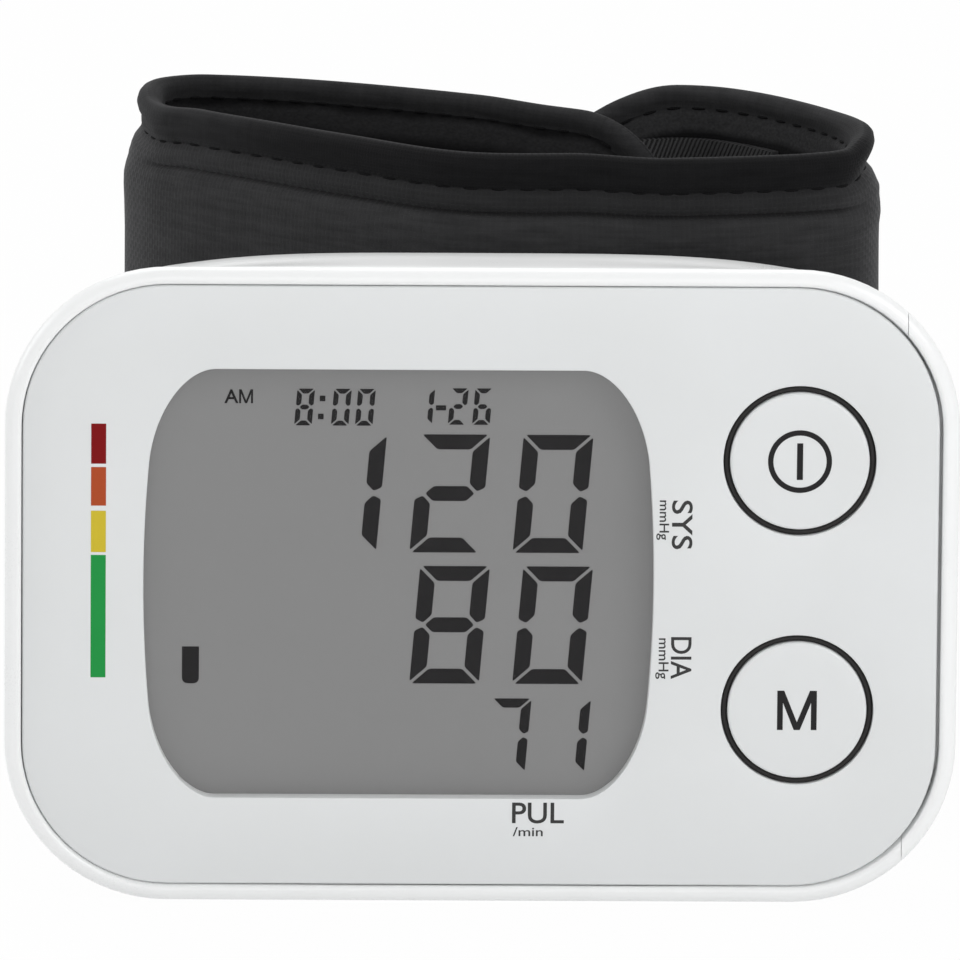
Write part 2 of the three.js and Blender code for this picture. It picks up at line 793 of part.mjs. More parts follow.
function flapCurve() {
  const wing = wingCurve();
  const climb = lobeDepth - rightFoldDepth;
  return planCurve([
    cuffPoint(1, rightFoldDepth),
    cuffPoint(0.956, rightFoldDepth + 0.23 * climb),
    cuffPoint(0.856, rightFoldDepth + 0.55 * climb),
    cuffPoint(0.7, rightFoldDepth + 0.86 * climb),
    cuffPoint(0.535, lobeDepth),
    beside(wing, 0.86, layerStep + fit),
    beside(wing, 0.74, layerStep),
    beside(wing, 0.62, layerStep),
    beside(wing, 0.5, layerStep),
  ]);
}

// Half thickness of a sewn panel at a height above its nearest hem
function sewnHalf(edge, middle) {
  const stops = [
    [0, 0],
    [0.2 * hemHeight, 0.8 * hemHalf],
    [0.55 * hemHeight, hemHalf],
    [hemHeight, pinchHalf],
    [(hemHeight + bandHeight) / 2, bandHalf],
    [bandHeight, pinchHalf + 0.15],
    [bandHeight + seamRise, 0.75 * middle],
    [bandHeight + padRise, 0.94 * middle],
    [cuffHeight / 2, middle],
  ];
  return THREE.MathUtils.clamp(stopsAt(stops, edge), 0, middle);
}

function stopsAt(stops, at) {
  for (let step = 1; step < stops.length; step += 1) {
    const [x0, y0] = stops[step - 1];
    const [x1, y1] = stops[step];
    if (at <= x1) {
      return y0 + (y1 - y0) * (at - x0) / (x1 - x0);
    }
  }
  return stops[stops.length - 1][1];
}

// Heights above the lower hem at which a sewn panel's section is drawn
function sewnLevels() {
  const lower = [0, 0.2 * hemHeight, 0.55 * hemHeight, hemHeight, (hemHeight + bandHeight) / 2, bandHeight];
  const body = [...lower, bandHeight + seamRise, bandHeight + padRise];
  return [...body, cuffHeight / 2, ...body.map((level) => cuffHeight - level).reverse()];
}

// Upright strip along a plan curve, through the given distances from the curve's start. A distance before
// the start runs on straight. section(distance) gives the levels as [z, outer, inner], where outer and
// inner are offsets to the left and right of the curve.
function strip(curve, distances, section) {
  const length = curve.getLength();
  const rings = distances.map((distance) => {
    const share = THREE.MathUtils.clamp(distance / length, 0, 1);
    const tangent = curve.getTangentAt(share);
    const point = curve.getPointAt(share).addScaledVector(tangent, Math.min(distance, 0));
    const left = new THREE.Vector3(-tangent.y, tangent.x, 0).normalize();
    const levels = section(distance);
    return [1, 2].map((side) => levels.map((level) => (
      point.clone().addScaledVector(left, level[side]).setZ(level[0])
    )));
  });
  return ladderLoft(rings);
}

function evenSteps(from, to, count) {
  return [...Array(count + 1).keys()].map((step) => from + (to - from) * step / count);
}

// Closed skin over sections that are ladders of outer and inner points
function ladderLoft(rings) {
  const levels = rings[0][0].length;
  const count = 2 * levels;
  const points = rings.flatMap(([outer, inner]) => [...outer, ...inner.slice().reverse()]);
  const index = [];
  for (let row = 0; row + 1 < rings.length; row += 1) {
    for (let column = 0; column < count; column += 1) {
      const next = (column + 1) % count;
      const a = row * count + column;
      const b = row * count + next;
      index.push(a, a + count, b, b, a + count, b + count);
    }
  }
  const last = (rings.length - 1) * count;
  for (let level = 0; level + 1 < levels; level += 1) {
    const mate = count - 1 - level;
    index.push(level, level + 1, mate, level + 1, mate - 1, mate);
    index.push(last + level, last + mate, last + level + 1, last + level + 1, last + mate, last + mate - 1);
  }
  return solid(facingOut(points, index));
}

const hemTip = 0.25; // half thickness left at the very edge of a hem

// Section of a sewn panel whose far end has round corners and whose start is a round knuckle
function sewnSection(middle, corner, length) {
  return (distance) => {
    const left = Math.max(corner - (length - distance), 0);
    const drop = corner > 0 ? corner - Math.sqrt(Math.max(corner ** 2 - left ** 2, 0)) : 0;
    const scale = (cuffHeight - 2 * drop) / cuffHeight;
    const nose = Math.sqrt(Math.max(1 - (Math.min(distance, 0) / middle) ** 2, 0));
    const thin = nose * (1 - 0.25 * THREE.MathUtils.smoothstep(left, 0, corner || 1));
    return sewnLevels().map((level) => {
      const edge = Math.min(level, cuffHeight - level);
      const half = Math.max(sewnHalf(edge, middle) * thin, hemTip);
      return [drop + level * scale, half, -half];
    });
  };
}

// Panel that turns about a fold, from its knuckle to its round-cornered end
function foldedPanel(curve, corner, steps) {
  const length = curve.getLength();
  const knuckle = [0.97, 0.8, 0.45].map((share) => -share * wingPadHalf);
  const body = evenSteps(0, length - corner, steps);
  const end = [0.35, 0.6, 0.8, 0.93, 1].map((share) => length - corner * (1 - share));
  return strip(curve, [...knuckle, ...body, ...end], sewnSection(wingPadHalf, corner, length));
}

function plainSection(z0, z1, outer, inner) {
  return () => [[z0, outer, inner], [z1, outer, inner]];
}

// Depth of the middle of the cuff's front wall at a distance from the middle of the case
function frontWallAt(x) {
  const curve = frontCurve();
  let low = 0;
  let high = 1;
  for (let halving = 0; halving < 30; halving += 1) {
    const share = (low + high) / 2;
    if (curve.getPointAt(share).x < x) {
      low = share;
    } else {
      high = share;
    }
  }
  return curve.getPointAt(low).y;
}

function bladderFront() {
  return pocketHalf - 2 * fit - stiffenerThickness;
}

function studPlaces() {
  const x = trayLeft - studMargin - clipRadius;
  return [-x, x];
}

// The loop's front lies on the near side of the plan curve, so out of the loop is negative there
function frontPanel() {
  const curve = frontCurve();
  const length = curve.getLength();
  const start = wingPadHalf + foldGap;
  let panel = strip(curve, evenSteps(start, length - start, 24), sewnSection(padHalf, 0, length));
  panel = panel.subtract(pocket(0, pocketHalf));
  const near = cuffFront - 2 * padHalf;
  const portEnd = frontWallAt(cuffPortX);
  panel = panel.subtract(solid(rod(cuffPortRadius + fit, cuffPortX, cuffPortZ, near, portEnd)));
  for (const x of studPlaces()) {
    panel = panel.subtract(solid(rod(studRadius + fit, x, midZ, near, frontWallAt(x))));
  }
  return panel;
}

// Strip inside the front panel, kept clear of its hems and folds
function pocketStrip(margin, outer, inner) {
  const curve = frontCurve();
  const edge = pocketMargin + margin;
  const section = plainSection(edge, cuffHeight - edge, outer, inner);
  return strip(curve, evenSteps(edge, curve.getLength() - edge, 18), section);
}

function pocket(margin, half) {
  return pocketStrip(margin, half, -half);
}

function cuffBladder() {
  const front = -bladderFront();
  return pocketStrip(fit, front + bladderThickness, front);
}

function cuffStiffener() {
  const outer = fit - pocketHalf;
  let sheet = pocketStrip(2 * fit, outer + stiffenerThickness, outer);
  sheet = sheet.subtract(solid(rod(cuffPortRadius + fit, cuffPortX, cuffPortZ, 0, caseDepth + wingDepth)));
  const studEnd = backWallInside(0) - fit - clipThickness - fit;
  for (const x of studPlaces()) {
    const seat = frontWallAt(x) + outer + stiffenerThickness / 2;
    sheet = sheet.add(solid(rod(studRadius, x, midZ, studEnd, seat, 20)));
  }
  return sheet;
}

function studClip(x) {
  const back = backWallInside(0) - fit;
  const inner = studRadius + fit;
  const front = back - clipThickness;
  return turned([
    [inner, front],
    [clipRadius, front],
    [clipRadius, back],
    [inner, back],
    [inner, front],
  ], x, midZ, 24);
}

// Fastener tape on the left-hand face of a panel, over a stretch of it
function fastenerTape(curve, from, to) {
  const length = curve.getLength();
  const near = wingPadHalf + fit;
  const low = (cuffHeight - fastenerHeight) / 2;
  const section = plainSection(low, low + fastenerHeight, near + fastenerThickness, near);
  return strip(curve, evenSteps(from * length, to * length, 8), section);
}

const walls = caseWalls();
place('front_shell', frontShell(walls), whitePlastic);
place('rear_shell', rearShell(walls), whitePlastic);
place('battery_door', batteryDoor(walls), whitePlastic);
place('face_plate', facePlate(), silverPlate);
place('display_window', displayWindow(), clearLens);
place('display_glass', displayGlass(), displayGrey);
place('display_frame', displayFrame(), blackPlastic);
place('contact_strip_lower', contactStrip(stripRows()[0]), softRubber);
place('contact_strip_upper', contactStrip(stripRows()[1]), softRubber);
place('main_board', mainBoard(), boardGreen);
for (const [name, z] of buttonPlaces()) {
  place(`${name}_button`, buttonCap(z), silverPlate);
  place(`${name}_button_seal`, buttonSeal(z), darkRubber);
  place(`${name}_switch`, tactSwitch(z), blackPlastic);
}
const chipHalf = chipSize / 2;
const [chipLow, chipHigh] = [chipRowHeight - chipHalf, chipRowHeight + chipHalf];
place('controller_chip', boardBlock(chipX, chipSize, chipHeight, chipLow, chipHigh), blackPlastic);
place('buzzer', rod(buzzerRadius, buzzerX, chipRowHeight, boardBack + fit, boardBack + fit + buzzerHeight),
  blackPlastic);
const motorTop = pumpBottom + motorLength;
place('pump_motor', post(motorRadius, pumpX, motorDepth, pumpBottom, motorTop, 28), brightMetal);
place('pump_head', boardBlock(pumpX, pumpHeadWidth, pumpHeadWidth, airTop - pumpHeadHeight, airTop, true),
  greyPlastic);
const valveBottom = airTop - valveHeight;
place('exhaust_valve', boardBlock(valveX, valveWidth, valveWidth, valveBottom, airTop, true), greyPlastic);
place('pressure_sensor', boardBlock(sensorX, sensorWidth, sensorWidth, airTop - sensorHeight, airTop, true),
  blackPlastic);
place('air_manifold', airManifold(), softRubber);
place('cuff_tube', cuffTube(), softRubber);
place('cuff_connector', cuffConnector(), greyPlastic);
place('battery_tray', batteryTray(), greyPlastic);
const [leftCell, rightCell] = batteryPlaces();
place('battery_left', battery(leftCell, true), cellWrap);
place('battery_right', battery(rightCell, false), cellWrap);
place('contact_bridge', batteryContact(leftCell, rightCell, true), brightMetal);
place('contact_negative', batteryContact(leftCell, leftCell, false), brightMetal);
place('contact_positive', batteryContact(rightCell, rightCell, false), brightMetal);
screwPlaces().forEach(([x, z], index) => {
  place(`case_screw_${index + 1}`, screw(x, z), brightMetal);
});
place('cuff_front_panel', frontPanel(), blackFabric);
place('cuff_bladder', cuffBladder(), softRubber);
place('cuff_stiffener', cuffStiffener(), greyPlastic);
studPlaces().forEach((x, index) => {
  place(`stud_clip_${index + 1}`, studClip(x), brightMetal);
});
place('cuff_inner_wing', foldedPanel(wingCurve(), wingCorner, 16), blackFabric);
place('loop_pad', fastenerTape(wingCurve(), 0.58, 0.78), hookTape);
place('cuff_outer_flap', foldedPanel(flapCurve(), flapCorner, 16), blackFabric);
place('hook_pad', fastenerTape(flapCurve(), 0.76, 0.93), hookTape);

// Origin under the middle of the whole object, on the surface that it stands on
const extent = new THREE.Box3().setFromObject(device);
const middle = extent.getCenter(new THREE.Vector3());
device.position.set(-middle.x, -middle.y, -extent.min.z);

export default device;
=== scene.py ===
import math

import bmesh
import bpy
from mathutils import Matrix, Vector, noise


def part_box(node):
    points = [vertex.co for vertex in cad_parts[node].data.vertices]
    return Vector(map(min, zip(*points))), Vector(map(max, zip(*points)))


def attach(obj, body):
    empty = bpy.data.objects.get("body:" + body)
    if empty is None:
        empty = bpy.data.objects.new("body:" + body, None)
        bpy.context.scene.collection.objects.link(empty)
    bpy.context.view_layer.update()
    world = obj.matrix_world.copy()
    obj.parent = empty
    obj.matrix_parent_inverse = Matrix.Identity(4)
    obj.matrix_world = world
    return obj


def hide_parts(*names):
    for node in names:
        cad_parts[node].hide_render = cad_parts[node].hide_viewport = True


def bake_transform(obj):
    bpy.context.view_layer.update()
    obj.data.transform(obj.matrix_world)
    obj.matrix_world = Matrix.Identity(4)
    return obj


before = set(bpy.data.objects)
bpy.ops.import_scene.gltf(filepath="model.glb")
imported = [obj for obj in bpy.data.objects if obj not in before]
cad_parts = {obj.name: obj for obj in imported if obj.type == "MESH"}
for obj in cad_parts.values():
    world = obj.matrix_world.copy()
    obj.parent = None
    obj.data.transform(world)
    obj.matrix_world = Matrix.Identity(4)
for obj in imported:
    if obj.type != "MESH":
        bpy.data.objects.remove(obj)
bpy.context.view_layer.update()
mm = 0.001
scene = bpy.context.scene
scene.view_settings.view_transform = "Standard"
print("frame loaded:", len(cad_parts), "nodes")

# Landmarks of the case, from the frame
rimLow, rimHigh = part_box("front_shell")
rearLow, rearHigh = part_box("rear_shell")
doorLow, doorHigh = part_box("battery_door")
plateLow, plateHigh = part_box("face_plate")
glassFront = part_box("display_glass")[0].y
caseMiddle = (rimLow.z + rimHigh.z) / 2
halfWide = (doorHigh.x - rimLow.x) / 2
halfTall = (rimHigh.z - rimLow.z) / 2
rimFront = rimLow.y
plateFront = plateLow.y


def tone(*levels):
    # screen colour, 0 to 255, as linear light
    shares = [level / 255 for level in levels]
    return tuple(((share + 0.055) / 1.055) ** 2.4 if share > 0.04 else share / 12.92 for share in shares)


def smoothstep(low, high, at):
    share = min(max((at - low) / (high - low), 0), 1)
    return share * share * (3 - 2 * share)


def quarterTurn(steps):
    # evenly spaced angles from nought to a right angle
    return [step / steps * math.pi / 2 for step in range(steps + 1)]


def rectangle(x0, x1, z0, z1):
    return [(x0, z0), (x1, z0), (x1, z1), (x0, z1)]


def newObject(name, data):
    made = bpy.data.objects.new(name, data)
    scene.collection.objects.link(made)
    return made


# Shader helpers
class Wire:
    # one socket, with sums that add Math nodes
    def __init__(self, tree, socket):
        self.tree = tree
        self.socket = socket

    def calc(self, operation, first, second=0.0):
        node = self.tree.nodes.new("ShaderNodeMath")
        node.operation = operation
        plug(self.tree, node.inputs[0], first)
        plug(self.tree, node.inputs[1], second)
        return Wire(self.tree, node.outputs[0])

    def __add__(self, other):
        return self.calc("ADD", self, other)

    def __radd__(self, other):
        return self.calc("ADD", other, self)

    def __sub__(self, other):
        return self.calc("SUBTRACT", self, other)

    def __rsub__(self, other):
        return self.calc("SUBTRACT", other, self)

    def __mul__(self, other):
        return self.calc("MULTIPLY", self, other)

    def __rmul__(self, other):
        return self.calc("MULTIPLY", other, self)

    def __truediv__(self, other):
        return self.calc("DIVIDE", self, other)

    def __rtruediv__(self, other):
        return self.calc("DIVIDE", other, self)

    def __gt__(self, other):
        return self.calc("GREATER_THAN", self, other)

    def __lt__(self, other):
        return self.calc("LESS_THAN", self, other)

    def __abs__(self):
        return self.calc("ABSOLUTE", self)

    def sine(self):
        return self.calc("SINE", self)

    def wrap(self):
        return self.calc("FRACT", self)

    def floor(self):
        return self.calc("FLOOR", self)

    def most(self, other):
        return self.calc("MAXIMUM", self, other)


def plug(tree, socket, value):
    if isinstance(value, Wire):
        tree.links.new(value.socket, socket)
    elif socket.type == "RGBA" and len(value) == 3:
        socket.default_value = (*value, 1.0)
    else:
        socket.default_value = value


class Finish:
    # the nodes of one material, or of a world
    def __init__(self, name, blocks=bpy.data.materials):
        self.block = blocks.new(name)
        self.block.use_nodes = True
        self.tree = self.block.node_tree
        self.tree.nodes.clear()

    def node(self, kind, settings=None, values=None, out=0):
        node = self.tree.nodes.new("ShaderNode" + kind)
        for key, value in (settings or {}).items():
            if key == "stops":
                self.setStops(node.color_ramp, value)
            else:
                setattr(node, key, value)
        for key, value in (values or {}).items():
            plug(self.tree, node.inputs[key], value)
        return Wire(self.tree, node.outputs[out])

    def setStops(self, ramp, stops):
        while len(ramp.elements) < len(stops):
            ramp.elements.new(1.0)
        for element, (at, level) in zip(ramp.elements, stops):
            element.position = at
            element.color = (level, level, level, 1.0)

    def place(self):
        return self.node("TexCoord", out="Object")

    def axis(self, name, place=None):
        return self.node("SeparateXYZ", None, {"Vector": place or self.place()}, out=name)

    def noise(self, size, detail=2.0, place=None, stretch=None):
        # cloudy value, 0 to 1, with features of about that size in metres
        spot = place or self.place()
        if stretch:
            spot = self.node("VectorMath", {"operation": "MULTIPLY"}, {0: spot, 1: stretch})
        return self.node("TexNoise", None, {"Vector": spot, "Scale": 1 / size, "Detail": detail})

    def ramp(self, value, *stops):
        return self.node("ValToRGB", {"stops": stops}, {"Fac": value})

    def mix(self, share, first, second):
        return self.node("Mix", {"data_type": "RGBA"}, {0: share, 6: first, 7: second}, out=2)

    def bump(self, height, depth, strength):
        return self.node("Bump", None, {"Height": height, "Distance": depth, "Strength": strength})

    def shade(self, values):
        return self.close(self.node("BsdfPrincipled", None, values))

    def close(self, shader, output="Material"):
        end = self.tree.nodes.new("ShaderNodeOutput" + output)
        self.tree.links.new(shader.socket, end.inputs["Surface"])
        return self.block


# Camera at the photograph's viewing angle
photoView = {
    "imageWidth": 960,  # pixels, square
    "facePixel": (481.5, 587.0),  # the middle of the face
    "pixelsPerMm": 10.84,  # across the face
    "azimuth": -1.0,  # degrees, from the left of straight on
    "elevation": 12.0,
    "roll": 0.48,
    "distance": 1.5,  # metres, a long lens
    "sensor": 36.0,
    "farLimit": 50.0,
}


def placeCamera(view):
    azimuth, elevation, roll = (math.radians(view[key]) for key in ("azimuth", "elevation", "roll"))
    flat = math.cos(elevation)
    back = Vector((math.sin(azimuth) * flat, -math.cos(azimuth) * flat, math.sin(elevation)))
    right = Vector((math.cos(azimuth), math.sin(azimuth), 0))
    up = back.cross(right)
    level, tilt = math.cos(roll), math.sin(roll)
    right, up = (level * right + tilt * up, level * up - tilt * right)
    perMetre = view["pixelsPerMm"] / mm
    across, down = ((pixel - view["imageWidth"] / 2) / perMetre for pixel in view["facePixel"])
    face = Vector((0, plateFront, caseMiddle))
    spot = face + back * view["distance"] - right * across + up * down
    data = bpy.data.cameras.new("photo_camera")
    data.sensor_width = view["sensor"]
    data.lens = perMetre * view["distance"] * view["sensor"] / view["imageWidth"]
    data.clip_end = view["farLimit"]
    camera = newObject("photo_camera", data)
    camera.matrix_world = Matrix.Translation(spot) @ Matrix((right, up, back)).transposed().to_4x4()
    scene.camera = camera


placeCamera(photoView)
print("camera placed")

# Floor, white surroundings and soft lamps
studio = {
    "floorHalf": 4.0,  # metres
    "floorAlbedo": (0.86, 0.86, 0.86),
    "white": (1.0, 1.0, 1.0),
    "floorShown": 0.97,  # how much of the floor is its own white where it is seen
    "floorGlow": 0.3,  # the same for the light that it sends back
    "fill": 0.39,
    "lamps": {
        "key": {"at": (0.36, -0.44, 0.36), "size": 0.36, "power": 1.58},
        "low": {"at": (0.0, -0.9, 0.08), "size": 0.5, "power": 1.3},
        "left": {"at": (-0.9, 0.0, 0.42), "size": 0.5, "power": 2.7},
        "top": {"at": (-0.1, 0.5, 1.2), "size": 0.9, "power": 6.2},
    },
}


def seenDirectly(finish):
    kinds = ("Is Camera Ray", "Is Glossy Ray", "Is Transmission Ray")
    camera, glossy, through = [finish.node("LightPath", out=kind) for kind in kinds]
    return camera.most(glossy).most(through)


def buildStudio(settings):
    half = settings["floorHalf"]
    white = settings["white"]
    corners = [(x, y, 0) for x, y in rectangle(-half, half, -half, half)]
    mesh = bpy.data.meshes.new("floor")
    mesh.from_pydata(corners, [], [tuple(range(len(corners)))])
    floor = newObject("floor", mesh)
    paint = Finish("floor_paint")
    lit = paint.node("BsdfDiffuse", None, {"Color": settings["floorAlbedo"]})
    glow = paint.node("Emission", None, {"Color": white, "Strength": 1.0})
    share = settings["floorGlow"] + seenDirectly(paint) * (settings["floorShown"] - settings["floorGlow"])
    mesh.materials.append(paint.close(paint.node("MixShader", None, {0: share, 1: lit, 2: glow})))
    sky = Finish("studio", bpy.data.worlds)
    fill = sky.node("Background", None, {"Color": white, "Strength": settings["fill"]})
    shown = sky.node("Background", None, {"Color": white, "Strength": 1.0})
    shader = sky.node("MixShader", None, {0: seenDirectly(sky), 1: fill, 2: shown})
    scene.world = sky.close(shader, "World")
    for name, lamp in settings["lamps"].items():
        data = bpy.data.lights.new(name, "AREA")
        data.size = lamp["size"]
        data.energy = lamp["power"]
        light = newObject(name, data)
        light.location = lamp["at"]
        aim = Vector((0, 0, caseMiddle)) - light.location
        light.rotation_euler = aim.to_track_quat("-Z", "Y").to_euler()


buildStudio(studio)
print("studio lit")


# Finishes
def mouldedFinish(name, look):
    # moulded plastic or rubber: faint mottling, a fine grain and uneven gloss
    finish = Finish(name)
    cloud = finish.noise(look["cloudSize"], 3.0)
    grain = finish.noise(look["grainSize"], 1.0)
    colour = finish.mix(cloud, look["dark"], look["light"])
    values = {
        "Base Color": colour,
        "Roughness": look["roughness"] + (grain - 0.5 + (cloud - 0.5)) * look["roughSpread"],
        "Normal": finish.bump(grain, look["grainDepth"], 0.6),
        "Specular IOR Level": look["gloss"],
    }
    values.update(look.get("extra", {}))
    return finish.shade(values)


mouldedLooks = {
    "case_white": {
        "light": tone(243, 244, 244), "dark": tone(239, 240, 240), "roughness": 0.3, "roughSpread": 0.08,
        "cloudSize": 9 * mm, "grainSize": 0.16 * mm, "grainDepth": 0.004 * mm, "gloss": 0.5,
        "extra": {"Coat Weight": 0.15, "Coat Roughness": 0.12},
    },
    "silver_panel": {
        "light": tone(224, 226, 227), "dark": tone(220, 222, 222), "roughness": 0.36, "roughSpread": 0.1,
        "cloudSize": 12 * mm, "grainSize": 0.09 * mm, "grainDepth": 0.003 * mm, "gloss": 0.45,
    },
    "seal_rubber": {
        "light": tone(44, 42, 42), "dark": tone(32, 31, 31), "roughness": 0.72, "roughSpread": 0.12,
        "cloudSize": 1.5 * mm, "grainSize": 0.12 * mm, "grainDepth": 0.006 * mm, "gloss": 0.3,
    },
    "black_plastic": {
        "light": tone(48, 48, 50), "dark": tone(36, 36, 38), "roughness": 0.48, "roughSpread": 0.12,
        "cloudSize": 4 * mm, "grainSize": 0.2 * mm, "grainDepth": 0.008 * mm, "gloss": 0.45,
    },
    "grey_plastic": {
        "light": tone(176, 178, 180), "dark": tone(164, 166, 168), "roughness": 0.45, "roughSpread": 0.12,
        "cloudSize": 5 * mm, "grainSize": 0.2 * mm, "grainDepth": 0.008 * mm, "gloss": 0.45,
    },
    "air_rubber": {
        "light": tone(92, 92, 96), "dark": tone(76, 76, 80), "roughness": 0.66, "roughSpread": 0.14,
        "cloudSize": 3 * mm, "grainSize": 0.25 * mm, "grainDepth": 0.01 * mm, "gloss": 0.3,
    },
    "cell_wrap": {
        "light": tone(58, 92, 122), "dark": tone(48, 78, 106), "roughness": 0.34, "roughSpread": 0.1,
        "cloudSize": 6 * mm, "grainSize": 0.3 * mm, "grainDepth": 0.004 * mm, "gloss": 0.5,
        "extra": {"Metallic": 0.35},
    },
}
finishes = {name: mouldedFinish(name, look) for name, look in mouldedLooks.items()}


def printFinish(name, colour):
    # screen-printed ink: small breaks in tone and a dry surface
    finish = Finish(name)
    fleck = finish.noise(0.14 * mm, 2.0)
    cloud = finish.noise(2.5 * mm, 2.0)
    thin = tuple(0.86 * level for level in colour)
    return finish.shade({
        "Base Color": finish.mix(fleck * 0.6 + cloud * 0.4, thin, colour),
        "Roughness": 0.5 + (fleck - 0.5) * 0.2,
        "Normal": finish.bump(fleck, 0.004 * mm, 0.5),
        "Specular IOR Level": 0.12,
    })


inks = {
    "ink_grey": tone(62, 62, 62),
    "ink_black": tone(36, 35, 36),
    "ink_red": tone(128, 10, 14),
    "ink_orange": tone(178, 78, 42),
    "ink_yellow": tone(212, 190, 54),
    "ink_green": tone(34, 150, 70),
}
finishes.update({name: printFinish(name, colour) for name, colour in inks.items()})


def metalFinish():
    # rolled bright strip: fine lines along it and slight tarnish
    finish = Finish("bright_metal")
    lines = finish.noise(0.2 * mm, 2.0, stretch=(1.0, 1.0, 0.06))
    tarnish = finish.noise(3 * mm, 3.0)
    return finish.shade({
        "Base Color": finish.mix(tarnish, tone(196, 196, 192), tone(222, 222, 220)),
        "Metallic": 1.0,
        "Roughness": 0.24 + (lines - 0.5) * 0.16 + tarnish * 0.08,
        "Normal": finish.bump(lines, 0.004 * mm, 0.5),
    })


def boardFinish():
    # green solder mask over copper tracks laid out in steps, with bare pads
    finish = Finish("board")
    cellSize, padPitch = 4.5 * mm, 2.54 * mm
    cells = {"Vector": finish.place(), "Scale": 1 / cellSize}
    cell = finish.node("TexVoronoi", {"distance": "MANHATTAN"}, cells)
    track = finish.ramp((cell * 3.2).wrap(), (0.36, 0.0), (0.42, 1.0), (0.58, 1.0), (0.64, 0.0))
    column, row = (abs((finish.axis(name) / padPitch).wrap() - 0.5) for name in ("X", "Z"))
    pads = (column.most(row) < 0.16) * (finish.noise(7 * mm, 0.0) > 0.55)
    mask = finish.mix(track, tone(24, 82, 52), tone(42, 116, 74))
    return finish.shade({
        "Base Color": finish.mix(pads, mask, tone(198, 186, 150)),
        "Metallic": pads * 0.8,
        "Roughness": 0.34 + (finish.noise(0.4 * mm) - 0.5) * 0.1,
        "Normal": finish.bump(track + pads, 0.02 * mm, 0.6),
    })


def displayFinish():
    # reflective grey display: even tone with a faint grain and the ghost of its fine cell rows, with a
    # painted glow that lifts it as if lit and evens out the shade of its recess
    finish = Finish("display_cell")
    grain = finish.noise(0.07 * mm, 1.0)
    cloud = finish.noise(18 * mm, 2.0)
    rowPitch = 0.3 * mm
    ghost = abs((finish.axis("Z") / rowPitch).wrap() - 0.5)
    share = cloud * 0.6 + grain * 0.25 + ghost * 0.3
    return finish.shade({
        "Base Color": finish.mix(share, tone(90, 90, 90), tone(94, 94, 94)),
        # painted light: the display glows though it is no lamp, so its recess casts little shade on it
        "Emission Color": finish.mix(share, tone(115, 115, 115), tone(121, 121, 121)),
        "Emission Strength": 0.71,
        "Roughness": 0.5 + (grain - 0.5) * 0.12,
        "Normal": finish.bump(grain, 0.002 * mm, 0.4),
        "Specular IOR Level": 0.3,
    })


def lensFinish():
    # clear pane: see-through, with its gloss from the Fresnel effect and a few faint wipe marks
    finish = Finish("display_lens")
    clear = finish.node("BsdfTransparent", None, {"Color": (0.985, 0.985, 0.985)})
    wipe = finish.noise(6 * mm, 3.0, stretch=(0.4, 1.0, 1.6))
    gloss = finish.node("BsdfGlossy", None, {"Color": (1.0, 1.0, 1.0), "Roughness": 0.04 + wipe * 0.05})
    edge = finish.node("LayerWeight", None, {"Blend": 0.12}, out="Fresnel")
    return finish.close(finish.node("MixShader", None, {0: edge * 0.3, 1: clear, 2: gloss}))


finishes["bright_metal"] = metalFinish()
finishes["board"] = boardFinish()
finishes["display_cell"] = displayFinish()
finishes["display_lens"] = lensFinish()
print("finishes mixed:", len(finishes))


# Mesh helpers
meshCare = {
    "weldGap": 1e-7,  # metres
    "cutGap": 1e-8,
    "mouldedAngle": 32.0,  # degrees, past which an edge stays sharp
    "flatAngle": 25.0,
    "clothAngle": 80.0,
}


def makePiece(name, points, faces, finish, body):
    mesh = bpy.data.meshes.new(name)
    mesh.from_pydata([tuple(point) for point in points], [], faces)
    piece = newObject(name, mesh)
    cleanMesh(mesh)
    mesh.materials.append(finishes[finish])
    if body:
        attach(piece, body)
    return piece


def cleanMesh(mesh, sharpAngle=meshCare["mouldedAngle"]):
    # welds doubled points, turns every face outwards and sets the shading
    form = bmesh.new()
    form.from_mesh(mesh)
    bmesh.ops.remove_doubles(form, verts=form.verts, dist=meshCare["weldGap"])
    bmesh.ops.recalc_face_normals(form, faces=form.faces)
    form.to_mesh(mesh)
    form.free()
    mesh.shade_smooth()
    mesh.set_sharp_from_angle(angle=math.radians(sharpAngle))


def standFor(node):
    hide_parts(node)


def bandFaces(first, second, count):
    # quads between two rings of count points that start at those indices
    pairs = [(i, (i + 1) % count) for i in range(count)]
    return [(first + i, first + j, second + j, second + i) for i, j in pairs]


def ringFaces(rings, count, closed=False, first=0):
    faces = []
    for ring in range(rings if closed else rings - 1):
        faces += bandFaces(first + ring * count, first + (ring + 1) % rings * count, count)
    return faces


def solidFaces(rings, count, first=0):
    # bands between rings, with both end rings filled
    last = first + (rings - 1) * count
    ends = [tuple(range(start, start + count)) for start in (first, last)]
    return ringFaces(rings, count, first=first) + ends


def realMesh(piece):
    # the piece's mesh with its modifiers, or its curve, made real
    bpy.context.view_layer.update()
    return bpy.data.meshes.new_from_object(piece.evaluated_get(bpy.context.evaluated_depsgraph_get()))


def combine(piece, operation, tool):
    change = piece.modifiers.new(operation.lower(), "BOOLEAN")
    change.operation = operation
    change.solver = "EXACT"
    change.object = tool
    mesh = realMesh(piece)
    piece.modifiers.clear()
    piece.data = mesh
    bpy.data.objects.remove(tool)


def lathePoints(profile, centre, sides):
    # rings of (radius, y) about an axis along Y
    points = []
    for radius, depth in profile:
        for side in range(sides):
            angle = 2 * math.pi * side / sides
            points.append((centre[0] + radius * math.cos(angle), depth, centre[1] + radius * math.sin(angle)))
    return points


def lathe(name, profile, centre, finish, body, sides, closed=False):
    rings = len(profile)
    faces = ringFaces(rings, sides, closed=True) if closed else solidFaces(rings, sides)
    return makePiece(name, lathePoints(profile, centre, sides), faces, finish, body)


